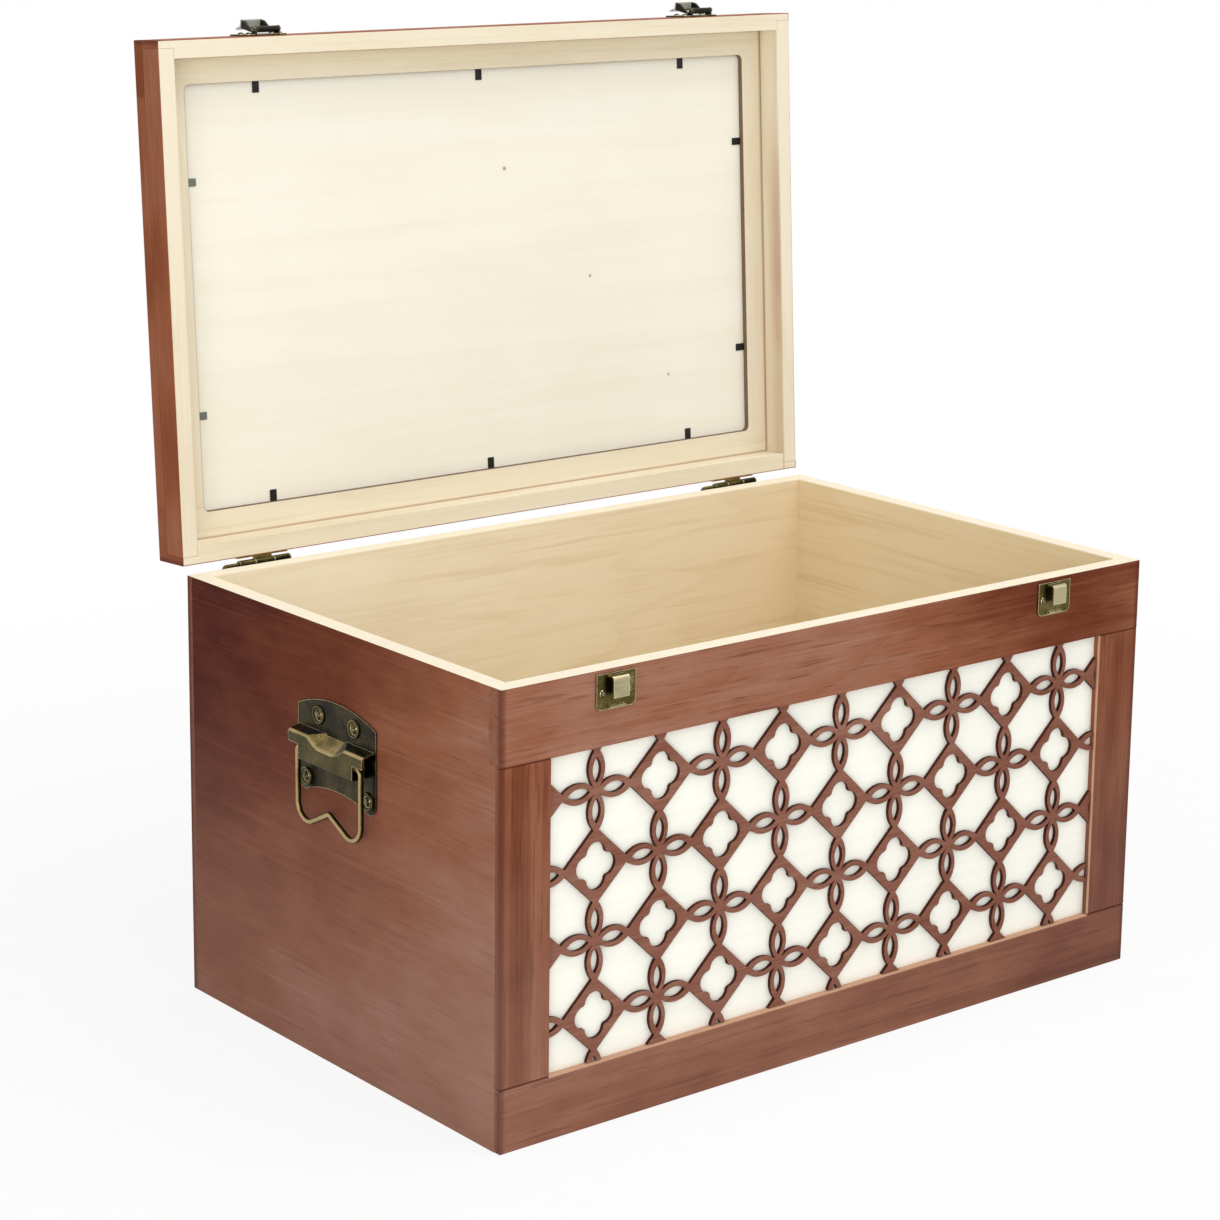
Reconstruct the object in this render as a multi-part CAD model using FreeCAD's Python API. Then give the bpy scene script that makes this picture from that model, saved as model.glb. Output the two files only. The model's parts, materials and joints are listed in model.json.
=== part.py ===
"""Wooden storage trunk: pierced lattice front, hinged lid, chest handles and swing latches.

Millimetres. X runs to the right along the front, Y to the back and Z up. The origin is the middle of
the underside. The lid is worked out closed and then swung open on its hinges, as it stands at rest.
"""
import FreeCAD
import Part
import math
import os

Vector = FreeCAD.Vector
X_AXIS = Vector(1, 0, 0)
Y_AXIS = Vector(0, 1, 0)
Z_AXIS = Vector(0, 0, 1)

# Whole trunk
trunk_length = 560.0
trunk_width = 354.0
body_height = 296.0
lid_height = 33.5
lid_open_angle = 93.4
lid_gap = 0.2
overrun = 5.0

# Boards
wall = 12.5
corner_lap = 5.5
floor_thickness = 6.0
floor_rabbet = 5.0
board_play = 0.1

# Framed front
top_rail_width = 49.0
bottom_rail_width = 42.0
stile_width = 38.0
frame_lip = 5.0
insert_ledge = 7.0
white_thickness = 1.5

# Lattice
lattice_pitch_x = 51.2
lattice_pitch_z = 48.7
lattice_recess = 2.0
lattice_lift = 1.5
front_row_share = 0.5
lid_row_share = 0.5
petal_length_share = 0.566
petal_width_share = 0.133
petal_hole_start_share = 0.100
petal_hole_end_share = 0.440
petal_hole_width_share = 0.068
diamond_reach_share = 0.520
barb_share = 0.166
lobe_reach_share = 0.310
lobe_breadth_share = 0.900

# Lid
lid_rail_height = 20.5
lid_member_width = 38.0
lid_round = 4.0
backing_thickness = 2.5
point_width = 5.4
point_length = 12.0
point_bite = 4.0
point_thickness = 0.6
long_point_inset = 59.0
short_point_inset = 66.0
rabbet_round = 4.0

# Screws
screw_radius = 1.3
screw_length = 8.5
screw_head_radius = 2.4
screw_head_height = 1.4
screw_play = 0.08
drive_width = 0.6
drive_depth = 0.8

# Hinges
hinge_inset = 64.5
hinge_setback = 4.9
leaf_length = 41.0
leaf_height = 16.0
leaf_thickness = 1.2
barrel_radius = 2.6
middle_knuckle = 15.0
knuckle_gap = 0.3
hinge_pin_radius = 1.3
hinge_play = 0.05
hinge_tail = 12.0
hinge_tail_drop = 6.0
hinge_tail_bend = 2.2
hinge_pin_head = 1.0
hinge_screw_spacing = 26.0
hinge_screw_drop = 9.5
stop_gap = 0.1
stop_toe_rise = 1.8
stop_toe_drop = 4.0

# Catches
latch_inset = 87.0
catch_width = 31.0
catch_height = 23.0
catch_drop = 2.5
catch_corner = 4.0
sheet = 1.2
strap_width = 12.4
strap_drop = 4.0
strap_length = 13.5
strap_stand = 6.5
strap_bend = 2.2
catch_lip = 2.0
catch_screw_spacing = 21.0
catch_screw_drop = 15.0

# Latches
latch_width = 31.0
latch_height = 23.0
latch_lift = 1.5
latch_pivot_lift = 2.0
latch_pivot_stand = 4.6
latch_knuckle_radius = 2.0
latch_pin_radius = 1.0
latch_pin_play = 0.05
latch_pin_head = 0.6
ear_radius = 2.2
ear_foot = 7.5
ear_gap = 0.25
hook_width = 16.4
hook_gap = 0.6
nose_gap = 0.4
nose_reach = 4.6
hook_neck = 3.2
cheek_rise = 5.0
tab_length = 5.0
tab_flare = 2.6
hook_window_width = 8.0
hook_window_height = 8.5
hook_fold_angle = 168.0
latch_screw_spacing = 24.8
latch_screw_lift = 6.0
latch_screw_rise = 9.5

# Chest handles
handle_height = 213.0
handle_forward = 3.7
handle_width = 88.0
plate_rise = 26.0
plate_arch = 8.8
plate_drop = 30.5
foot_radius = 7.5
foot_turn_angle = 40.0
plate_hollow = 6.3
hood_width = 84.0
hood_tongue = 61.6
hood_root = 12.4
hood_brow = 10.1
hood_drop = 7.8
hood_stand = 10.5
hood_round = 3.0
hood_dent = 7.0
hood_dent_width = 46.0
hood_dent_floor = 20.0
hood_dent_round = 18.0
dent_root_share = 0.05
dent_over_share = 0.3
dent_reach_share = 1.1
rod_stand = 7.0
bail_radius = 1.8
bail_play = 0.1
bail_width = 71.6
bail_drop = 56.0
bail_notch = 18.0
bail_corner = 4.0
bail_grip_round = 11.5
bail_notch_round = 3.0
bail_swing_room = 0.6
handle_screw_head_radius = 3.3
handle_screw_head_height = 1.7
upper_screw_spacing = 40.0
upper_screw_rise = 22.6
lower_screw_spacing = 69.4
lower_screw_drop = 21.7

# Places that follow from the sizes above
half_length = trunk_length / 2
half_width = trunk_width / 2
back_face = half_width
front_face = -half_width
lid_top = body_height + lid_height
lid_frame_foot = body_height + lid_rail_height
hinge_y = back_face + hinge_setback
hinge_z = body_height
lattice_thickness = frame_lip - lattice_recess
opening_half = half_length - stile_width
opening_low = bottom_rail_width
opening_high = body_height - top_rail_width
lid_opening_x = half_length - lid_member_width
lid_opening_y = half_width - lid_member_width
lining_thickness = wall - frame_lip - white_thickness
hinge_x = half_length - hinge_inset
latch_x = half_length - latch_inset


def block(x_range, y_range, z_range):
    """Return a box between two limits along each axis."""
    spans = [high - low for low, high in (x_range, y_range, z_range)]
    corner = Vector(x_range[0], y_range[0], z_range[0])
    return Part.makeBox(*spans, corner)


def slab(half_x, half_y, z_range, corner):
    """Return a flat slab centred on the Z axis, with the four corners of its outline rounded."""
    low, high = z_range
    points = [
        Vector(half_x, half_y, low),
        Vector(-half_x, half_y, low),
        Vector(-half_x, -half_y, low),
        Vector(half_x, -half_y, low),
    ]
    return Part.Face(rounded_wire(points, [corner] * len(points))).extrude(Z_AXIS * (high - low))


def rounded_wire(points, radii):
    """Return a closed wire through the points, with a tangent arc of its own radius at each corner."""
    count = len(points)
    starts = []
    ends = []
    edges = []
    for index, corner in enumerate(points):
        back = (points[index - 1] - corner).normalize()
        ahead = (points[(index + 1) % count] - corner).normalize()
        half_turn = back.getAngle(ahead) / 2
        reach = radii[index] / math.tan(half_turn)
        starts.append(corner + back * reach)
        ends.append(corner + ahead * reach)
    for index, corner in enumerate(points):
        following = (index + 1) % count
        if radii[index] > 0:
            middle_way = ((starts[index] + ends[index]) / 2 - corner).normalize()
            half_turn = (starts[index] - corner).getAngle(ends[index] - corner) / 2
            middle = corner + middle_way * (radii[index] / math.sin(half_turn) - radii[index])
            edges.append(Part.Arc(starts[index], middle, ends[index]).toShape())
        edges.append(Part.makeLine(ends[index], starts[following]))
    return Part.Wire(edges)


def prism_x(outline, x_low, x_high, radii=None):
    """Return an outline of (y, z) points carried along X, with its corners rounded if radii are given."""
    points = [Vector(x_low, y, z) for y, z in outline]
    wire = rounded_wire(points, radii or [0] * len(points))
    return Part.Face(wire).extrude(X_AXIS * (x_high - x_low))


def rod_x(radius, x_low, x_high, y, z):
    """Return a round rod along X."""
    return Part.makeCylinder(radius, x_high - x_low, Vector(x_low, y, z), X_AXIS)


def mirrored(shape):
    """Return the shape seen in the plane between the trunk's left and right halves."""
    return shape.mirror(Vector(0, 0, 0), X_AXIS)


def swung_open(shape):
    """Return a piece of the closed lid, turned back on the hinge axis to the open lid's place."""
    turned = shape.copy()
    turned.rotate(Vector(0, hinge_y, hinge_z), X_AXIS, -lid_open_angle)
    return turned


def wood_screw(seat, outward, head_radius, head_height):
    """Return a round-headed screw whose head stands on the seat, with a crossed drive."""
    dome_radius = (head_radius ** 2 + head_height ** 2) / (2 * head_height)
    cap_angle = math.degrees(math.asin((dome_radius - head_height) / dome_radius))
    centre = seat - outward * (dome_radius - head_height)
    head = Part.makeSphere(dome_radius, centre, outward, cap_angle, 90, 360)
    shank = Part.makeCylinder(screw_radius, screw_length, seat, -outward)
    side = outward.cross(Z_AXIS)
    drive_floor = seat + outward * (head_height - drive_depth)
    slots = []
    for along, across in ((side, Z_AXIS), (Z_AXIS, side)):
        corner = drive_floor - along * (head_radius / 2) - across * (drive_width / 2)
        slot = [
            corner,
            corner + along * head_radius,
            corner + along * head_radius + across * drive_width,
            corner + across * drive_width,
        ]
        face = Part.Face(Part.makePolygon(slot + slot[:1]))
        slots.append(face.extrude(outward * head_height))
    return head.fuse(shank).cut(slots[0].fuse(slots[1])).removeSplitter()


def screw_hole(seat, outward):
    """Return the clearance hole for a screw, run on past its tip and up through its plate."""
    length = screw_length + screw_play + sheet
    return Part.makeCylinder(screw_radius + screw_play, length, seat + outward * sheet, -outward)


def screw_set(seats, outward, head_radius=screw_head_radius, head_height=screw_head_height):
    """Return the screws and the holes for a list of seats that face one way."""
    screws = [wood_screw(seat, outward, head_radius, head_height) for seat in seats]
    holes = Part.makeCompound([screw_hole(seat, outward) for seat in seats])
    return screws, holes


# Joints cut in the boards
def corner_rabbets(y_low, y_high, z_low, z_high):
    """Return the two end cuts that let the end boards in behind a lap."""
    left = block((-half_length - overrun, -half_length + wall), (y_low, y_high), (z_low, z_high))
    return Part.makeCompound([left, mirrored(left)])


def front_rabbets(z_low, z_high):
    """Return the corner cuts of a front board."""
    inside = front_face + wall + overrun
    return corner_rabbets(front_face + corner_lap, inside, z_low - overrun, z_high + overrun)


def back_rabbets(z_low, z_high):
    """Return the corner cuts of a back board."""
    inside = back_face - wall - overrun
    return corner_rabbets(inside, back_face - corner_lap, z_low - overrun, z_high + overrun)


def floor_block(play, drop):
    """Return the floor panel set up into the walls' rabbets, grown by a play outwards and a drop below."""
    reach_x = half_length - wall + floor_rabbet + play
    reach_y = half_width - wall + floor_rabbet + play
    return block((-reach_x, reach_x), (-reach_y, reach_y), (-drop, floor_thickness))


# Lattice pattern
def lens_face(length_low, length_high, half_breadth, way):
    """Return an almond between two places along a direction in the XY plane, bounded by two arcs."""
    across = Vector(-way.y, way.x, 0)
    low = way * length_low
    high = way * length_high
    middle = (low + high) / 2
    upper = Part.Arc(low, middle + across * half_breadth, high).toShape()
    lower = Part.Arc(high, middle - across * half_breadth, low).toShape()
    return Part.Face(Part.Wire([upper, lower]))


def flower_face():
    """Return four almond petals on the axes and the holes in them."""
    petals = []
    holes = []
    for way, pitch in ((X_AXIS, lattice_pitch_x), (Y_AXIS, lattice_pitch_z)):
        for side in (1, -1):
            heading = way * side
            petals.append(lens_face(0, pitch * petal_length_share, pitch * petal_width_share, heading))
            start = pitch * petal_hole_start_share
            end = pitch * petal_hole_end_share
            holes.append(lens_face(start, end, pitch * petal_hole_width_share, heading))
    return Part.makeCompound(petals), holes


def diamond_face():
    """Return a square on its point and the barbed four-lobed hole in it."""
    reach_x = lattice_pitch_x * diamond_reach_share
    reach_z = lattice_pitch_z * diamond_reach_share
    tips = [Vector(reach_x, 0, 0), Vector(0, reach_z, 0), Vector(-reach_x, 0, 0), Vector(0, -reach_z, 0)]
    diamond = Part.Face(Part.makePolygon(tips + tips[:1]))
    pitch = (lattice_pitch_x + lattice_pitch_z) / 2
    barb = pitch * barb_share
    half_lobe = barb * lobe_breadth_share
    edges = []
    for way, across in ((X_AXIS, Y_AXIS), (Y_AXIS, -X_AXIS), (-X_AXIS, -Y_AXIS), (-Y_AXIS, X_AXIS)):
        side = way * barb
        start = side - across * half_lobe
        end = side + across * half_lobe
        edges.append(Part.makeLine(side - across * barb, start))
        edges.append(Part.Arc(start, way * (pitch * lobe_reach_share), end).toShape())
        edges.append(Part.makeLine(end, side + across * barb))
    return diamond, [Part.Face(Part.Wire(edges))]


def gap_face(flower, diamond):
    """Return the white gap left between two flowers and two diamonds, with a flower at its lower left."""
    cell = Part.makePlane(lattice_pitch_x, lattice_pitch_z)
    across = Vector(lattice_pitch_x, 0, 0)
    up = Vector(0, lattice_pitch_z, 0)
    for body, place in ((flower, across * 0), (diamond, across), (flower, across + up), (diamond, up)):
        cell = cell.cut(body.translated(place))
    middle = (across + up) / 2
    return cell.translated(-middle)


def lattice_sheet(half_x, half_z, lift, row_offset_share):
    """Return the lattice as a flat plate that fills an opening centred on the origin of the XY plane.

    Cells lie on a checkerboard: flowers where the row and column add up to an odd number, diamonds
    elsewhere. The pattern is cut off square at the opening's edges.
    """
    flower, petal_holes = flower_face()
    diamond, lobed_holes = diamond_face()
    gap = gap_face(flower, diamond)
    other_gap = gap.mirror(Vector(0, 0, 0), X_AXIS)
    columns = math.ceil(half_x / lattice_pitch_x) + 1
    rows = math.ceil((half_z + abs(lift)) / lattice_pitch_z) + 1
    pitch = Vector(lattice_pitch_x, lattice_pitch_z, 0)
    window = Part.makePlane(2 * half_x, 2 * half_z, Vector(-half_x, -half_z, 0))
    holes = []
    for column in range(-columns, columns + 1):
        for row in range(-rows, rows + 1):
            is_flower = (column + row) % 2 == 1
            place = Vector(column * pitch.x, lift + (row + row_offset_share) * pitch.y, 0)
            openings = petal_holes if is_flower else lobed_holes
            holes.extend(opening.translated(place) for opening in openings)
            between = gap if is_flower else other_gap
            holes.append(between.translated(place + pitch / 2))
    inside = []
    crossing = []
    for hole in holes:
        box = hole.BoundBox
        far_x = max(abs(box.XMin), abs(box.XMax))
        far_z = max(abs(box.YMin), abs(box.YMax))
        near_x = min(abs(box.XMin), abs(box.XMax))
        near_z = min(abs(box.YMin), abs(box.YMax))
        if far_x < half_x and far_z < half_z:
            inside.append(hole)
        elif near_x < half_x and near_z < half_z:
            crossing.append(hole)
    pieces = window.cut(Part.makeCompound(crossing)).Faces
    wires = [max(pieces, key=lambda piece: piece.Area).OuterWire]
    for hole in inside:
        wires.append(hole.Faces[0].OuterWire)
    plate = Part.makeFace(wires, "Part::FaceMakerBullseye")
    return plate.extrude(Z_AXIS * lattice_thickness)


# Body of the trunk
def body_boards(handle_holes, catch_holes, hinge_holes):
    """Return the walls and the floor, with their grooves, rabbets and screw holes cut."""
    height = (0, body_height)
    floor_cut = floor_block(board_play, overrun)
    front_y = (front_face, front_face + wall)
    insert_cut = block(
        (-opening_half - insert_ledge, opening_half + insert_ledge),
        (front_face + frame_lip, front_face + wall + overrun),
        (opening_low - insert_ledge, opening_high + insert_ledge),
    )
    front_cut = Part.makeCompound([insert_cut, front_rabbets(0, opening_high)])
    stile_z = (opening_low, opening_high)
    rail_x = (-half_length, half_length)
    left_stile = block((-half_length, -opening_half), front_y, stile_z).cut(front_cut)
    back = block(rail_x, (back_face - wall, back_face), height)
    end_y = (front_face + corner_lap, back_face - corner_lap)
    top_rail = block(rail_x, front_y, (opening_high, body_height)).cut(insert_cut)
    left_end = block((-half_length, -half_length + wall), end_y, height).cut(top_rail)
    left_end = left_end.cut(floor_cut).cut(handle_holes)
    return {
        "front_top_rail": top_rail.cut(catch_holes),
        "front_bottom_rail": block(rail_x, front_y, (0, opening_low)).cut(front_cut).cut(floor_cut),
        "front_left_stile": left_stile,
        "front_right_stile": mirrored(left_stile),
        "back_panel": back.cut(back_rabbets(0, body_height)).cut(floor_cut).cut(hinge_holes),
        "left_end_panel": left_end,
        "right_end_panel": mirrored(left_end),
        "floor_panel": floor_block(0, 0),
    }


def front_insert():
    """Return the lattice, the white panel and the lining board that fill the framed front."""
    middle_z = (opening_low + opening_high) / 2
    half_z = (opening_high - opening_low) / 2
    lattice = lattice_sheet(opening_half - board_play, half_z - board_play, lattice_lift, front_row_share)
    lattice.rotate(Vector(0, 0, 0), X_AXIS, 90)
    lattice.translate(Vector(0, front_face + frame_lip, middle_z))
    reach_x = opening_half + insert_ledge - board_play
    reach_z = half_z + insert_ledge - board_play
    panel_x = (-reach_x, reach_x)
    panel_z = (middle_z - reach_z, middle_z + reach_z)
    white_y = front_face + frame_lip
    lining_y = white_y + white_thickness
    return {
        "front_lattice": lattice,
        "front_white_panel": block(panel_x, (white_y, lining_y), panel_z),
        "front_lining_board": block(panel_x, (lining_y, lining_y + lining_thickness), panel_z),
    }


# Lid, worked out closed
def rounded_top(board, sides):
    """Return a top member with its outer top edges on the named sides of the lid rounded over."""
    chosen = []
    for edge in board.Edges:
        box = edge.BoundBox
        on_top = math.isclose(box.ZMin, lid_top, abs_tol=board_play)
        on_side = {
            "front": math.isclose(box.YMax, front_face, abs_tol=board_play),
            "back": math.isclose(box.YMin, back_face, abs_tol=board_play),
            "left": math.isclose(box.XMax, -half_length, abs_tol=board_play),
            "right": math.isclose(box.XMin, half_length, abs_tol=board_play),
        }
        if on_top and any(on_side[side] for side in sides):
            chosen.append(edge)
    return board.makeFillet(lid_round, chosen)


def lid_boards(latch_holes, hinge_holes, point_slots):
    """Return the four side rails and the four members of the lid's top frame."""
    rail_z = (body_height + lid_gap, lid_frame_foot)
    top_z = (lid_frame_foot, lid_top)
    full_x = (-half_length, half_length)
    front_rail = block(full_x, (front_face, front_face + wall), rail_z).cut(front_rabbets(*rail_z))
    back_rail = block(full_x, (back_face - wall, back_face), rail_z).cut(back_rabbets(*rail_z))
    end_y = (front_face + corner_lap, back_face - corner_lap)
    left_rail = block((-half_length, -half_length + wall), end_y, rail_z)
    cut_z = (lid_frame_foot - overrun, lid_top - frame_lip)
    insert_cut = slab(lid_opening_x + insert_ledge, lid_opening_y + insert_ledge, cut_z, rabbet_round)
    front_top = rounded_top(block(full_x, (front_face, -lid_opening_y), top_z), ("front", "left", "right"))
    back_top = rounded_top(block(full_x, (lid_opening_y, back_face), top_z), ("back", "left", "right"))
    side_y = (-lid_opening_y, lid_opening_y)
    left_top = rounded_top(block((-half_length, -lid_opening_x), side_y, top_z), ("left",))
    left_top = left_top.cut(insert_cut)
    return {
        "lid_front_rail": front_rail.cut(latch_holes),
        "lid_back_rail": back_rail.cut(hinge_holes),
        "lid_left_rail": left_rail,
        "lid_right_rail": mirrored(left_rail),
        "lid_top_front": front_top.cut(insert_cut).cut(point_slots),
        "lid_top_back": back_top.cut(insert_cut).cut(point_slots),
        "lid_top_left": left_top.cut(point_slots),
        "lid_top_right": mirrored(left_top).cut(point_slots),
    }


def lid_insert():
    """Return the lattice, the white panel and the backing board of the lid's top."""
    lattice = lattice_sheet(lid_opening_x - board_play, lid_opening_y - board_play, 0, lid_row_share)
    white_top = lid_top - frame_lip
    lattice.translate(Vector(0, 0, white_top))
    backing_top = white_top - white_thickness
    reach_x = lid_opening_x + insert_ledge - board_play
    reach_y = lid_opening_y + insert_ledge - board_play
    backing_z = (backing_top - backing_thickness, backing_top)
    return {
        "lid_lattice": lattice,
        "lid_white_panel": slab(reach_x, reach_y, (backing_top, white_top), rabbet_round),
        "lid_backing_board": slab(reach_x, reach_y, backing_z, rabbet_round),
    }


def framers_points(play):
    """Return the ten steel points driven into the rabbet's walls to hold the backing board."""
    point_top = lid_top - frame_lip - white_thickness - backing_thickness
    z_range = (point_top - point_thickness - play, point_top + play)
    half = point_width / 2 + play
    bite = point_bite + play
    points = []
    wall_y = lid_opening_y + insert_ledge
    wall_x = lid_opening_x + insert_ledge
    reach = point_length - point_bite
    long_place = wall_x - long_point_inset
    short_place = wall_y - short_point_inset
    for place in (-long_place, 0, long_place):
        back = block((place - half, place + half), (wall_y - reach, wall_y + bite), z_range)
        points.append(back)
        points.append(back.mirror(Vector(0, 0, 0), Y_AXIS))
    for place in (-short_place, short_place):
        right = block((wall_x - reach, wall_x + bite), (place - half, place + half), z_range)
        points.append(right)
        points.append(mirrored(right))
    return Part.makeCompound(points)


# Hinges
def hinge_leaf(middle_x, spans, side):
    """Return a leaf on the back face above (1) or below (-1) the joint, cranked out to its knuckles."""
    shelf_far = hinge_z + side * barrel_radius
    shelf_near = shelf_far - side * leaf_thickness
    shelf = sorted((shelf_far, shelf_near))
    plate_z = sorted((shelf_near, shelf_near + side * leaf_height))
    half = leaf_length / 2
    bore_ends = (middle_x - half - overrun, middle_x + half + overrun)
    leaf = block((middle_x - half, middle_x + half), (back_face, back_face + leaf_thickness), plate_z)
    for low, high in spans:
        ends = (middle_x + low, middle_x + high)
        leaf = leaf.fuse(block(ends, (back_face, hinge_y), shelf))
        leaf = leaf.fuse(rod_x(barrel_radius, *ends, hinge_y, hinge_z))
    return leaf.cut(rod_x(hinge_pin_radius + hinge_play, *bore_ends, hinge_y, hinge_z))


def stop_toe(middle_x):
    """Return the toe on the lid's knuckle that meets the body leaf when the lid stands open."""
    reach = hinge_setback - leaf_thickness - stop_gap
    outline = [
        (hinge_y - hinge_pin_radius - hinge_play, hinge_z),
        (hinge_y - reach, hinge_z - stop_toe_rise),
        (hinge_y - reach, hinge_z - stop_toe_drop),
        (hinge_y, hinge_z - hinge_pin_radius - hinge_play),
    ]
    half = middle_knuckle / 2
    return prism_x(outline, middle_x - half, middle_x + half)


def hinge_pin(middle_x):
    """Return the loose pin, headed at its right end and bent down at its left end."""
    half = leaf_length / 2
    right = middle_x + half
    left = middle_x - half - hinge_tail
    straight = rod_x(hinge_pin_radius, left + hinge_tail_bend, right + hinge_pin_head, hinge_y, hinge_z)
    head = rod_x(hinge_pin_radius + hinge_pin_head / 2, right, right + hinge_pin_head, hinge_y, hinge_z)
    bend_start = Vector(left + hinge_tail_bend, hinge_y, hinge_z)
    turn_centre = bend_start - Z_AXIS * hinge_tail_bend
    section = Part.Face(Part.Wire([Part.makeCircle(hinge_pin_radius, bend_start, X_AXIS)]))
    bend = section.revolve(turn_centre, -Y_AXIS, 90)
    tail_top = Vector(left, hinge_y, hinge_z - hinge_tail_bend)
    tail = Part.makeCylinder(hinge_pin_radius, hinge_tail_drop - hinge_tail_bend, tail_top, -Z_AXIS)
    return straight.fuse([head, bend, tail]).removeSplitter()


def hinge_seats(side):
    """Return the screw seats on the leaves above (1) or below (-1) the joint, in the closed trunk."""
    seat_z = hinge_z + side * hinge_screw_drop
    seats = []
    for middle_x in (-hinge_x, hinge_x):
        for offset in (-hinge_screw_spacing / 2, hinge_screw_spacing / 2):
            seats.append(Vector(middle_x + offset, back_face + leaf_thickness, seat_z))
    return seats


def hinges(body_holes, lid_holes):
    """Return both hinges' body leaves and pins, and their lid leaves in the open lid's place."""
    pieces = {}
    half = leaf_length / 2
    inner = middle_knuckle / 2
    body_spans = ((-half, -inner - knuckle_gap), (inner + knuckle_gap, half))
    for name, middle_x in (("left", -hinge_x), ("right", hinge_x)):
        lid_leaf = swung_open(hinge_leaf(middle_x, ((-inner, inner),), 1).cut(lid_holes))
        bore = rod_x(hinge_pin_radius + hinge_play, middle_x - half, middle_x + half, hinge_y, hinge_z)
        pieces[name + "_hinge_lid_leaf"] = lid_leaf.fuse(stop_toe(middle_x)).cut(bore)
        pieces[name + "_hinge_body_leaf"] = hinge_leaf(middle_x, body_spans, -1).cut(body_holes)
        pieces[name + "_hinge_pin"] = hinge_pin(middle_x)
    return pieces


# Catches and latches, with distances measured out from the front face and up from the joint
def front_place(stand, lift):
    """Return the (y, z) of a point that stands out from the front face and is lifted above the joint."""
    return (front_face - stand, body_height + lift)


def rounded_plate(middle_x, width, low, high, corner):
    """Return a sheet plate on the front face with its two lower corners rounded."""
    half = width / 2
    points = [
        Vector(middle_x - half, front_face, high),
        Vector(middle_x - half, front_face, low),
        Vector(middle_x + half, front_face, low),
        Vector(middle_x + half, front_face, high),
    ]
    return Part.Face(rounded_wire(points, [0, corner, corner, 0])).extrude(-Y_AXIS * sheet)


strap_top = -strap_drop
strap_foot = strap_top - strap_length
catch_top = -catch_drop
catch_foot = catch_top - catch_height


def catch(middle_x):
    """Return a catch plate whose strap is bent out at the top and hangs open at the bottom."""
    low = body_height + catch_foot
    plate = rounded_plate(middle_x, catch_width, low, body_height + catch_top, catch_corner)
    inner_bend = strap_bend - sheet
    outline = [
        front_place(0, strap_top),
        front_place(strap_stand, strap_top),
        front_place(strap_stand, strap_foot),
        front_place(strap_stand - sheet, strap_foot),
        front_place(strap_stand - sheet, strap_top - sheet),
        front_place(0, strap_top - sheet),
    ]
    half = strap_width / 2
    strap = prism_x(outline, middle_x - half, middle_x + half, [0, strap_bend, 0, 0, inner_bend, 0])
    lip_y = (front_face - sheet - catch_lip, front_face)
    lip_z = (low + sheet, low + 2 * sheet)
    lip = block((middle_x - half, middle_x + half), lip_y, lip_z)
    return plate.fuse([strap, lip]).removeSplitter()


def latch_pivot():
    """Return the (y, z) of the hook's axis on the closed lid."""
    return front_place(latch_pivot_stand, latch_pivot_lift)


def latch_base(middle_x):
    """Return the latch plate on the lid's front with two ears for the hook's pin."""
    low = body_height + latch_lift
    half = latch_width / 2
    plate_x = (middle_x - half, middle_x + half)
    plate = block(plate_x, (front_face - sheet, front_face), (low, low + latch_height))
    pivot = latch_pivot()
    outline = [
        front_place(0, latch_lift),
        front_place(latch_pivot_stand, latch_pivot_lift - ear_radius),
        front_place(latch_pivot_stand + ear_radius, latch_pivot_lift),
        front_place(latch_pivot_stand, latch_pivot_lift + ear_radius),
        front_place(0, latch_lift + ear_foot),
    ]
    inner = hook_width / 2 + ear_gap
    base = plate
    for low_x in (middle_x + inner, middle_x - inner - sheet):
        ends = (low_x, low_x + sheet)
        ear = prism_x(outline, *ends).fuse(rod_x(ear_radius, *ends, *pivot))
        base = base.fuse(ear)
    reach = inner + sheet + overrun
    bore = rod_x(latch_pin_radius + latch_pin_play, middle_x - reach, middle_x + reach, *pivot)
    return base.cut(bore).removeSplitter()


def latch_pin(middle_x):
    """Return the pin through the latch's ears, with a flat head on each ear."""
    ear = hook_width / 2 + ear_gap + sheet
    reach = ear + latch_pin_head
    head_radius = latch_pin_radius + latch_pin_head
    pin = rod_x(latch_pin_radius, middle_x - ear, middle_x + ear, *latch_pivot())
    left_head = rod_x(head_radius, middle_x - reach, middle_x - ear, *latch_pivot())
    right_head = rod_x(head_radius, middle_x + ear, middle_x + reach, *latch_pivot())
    return pin.fuse([left_head, right_head]).removeSplitter()


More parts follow.
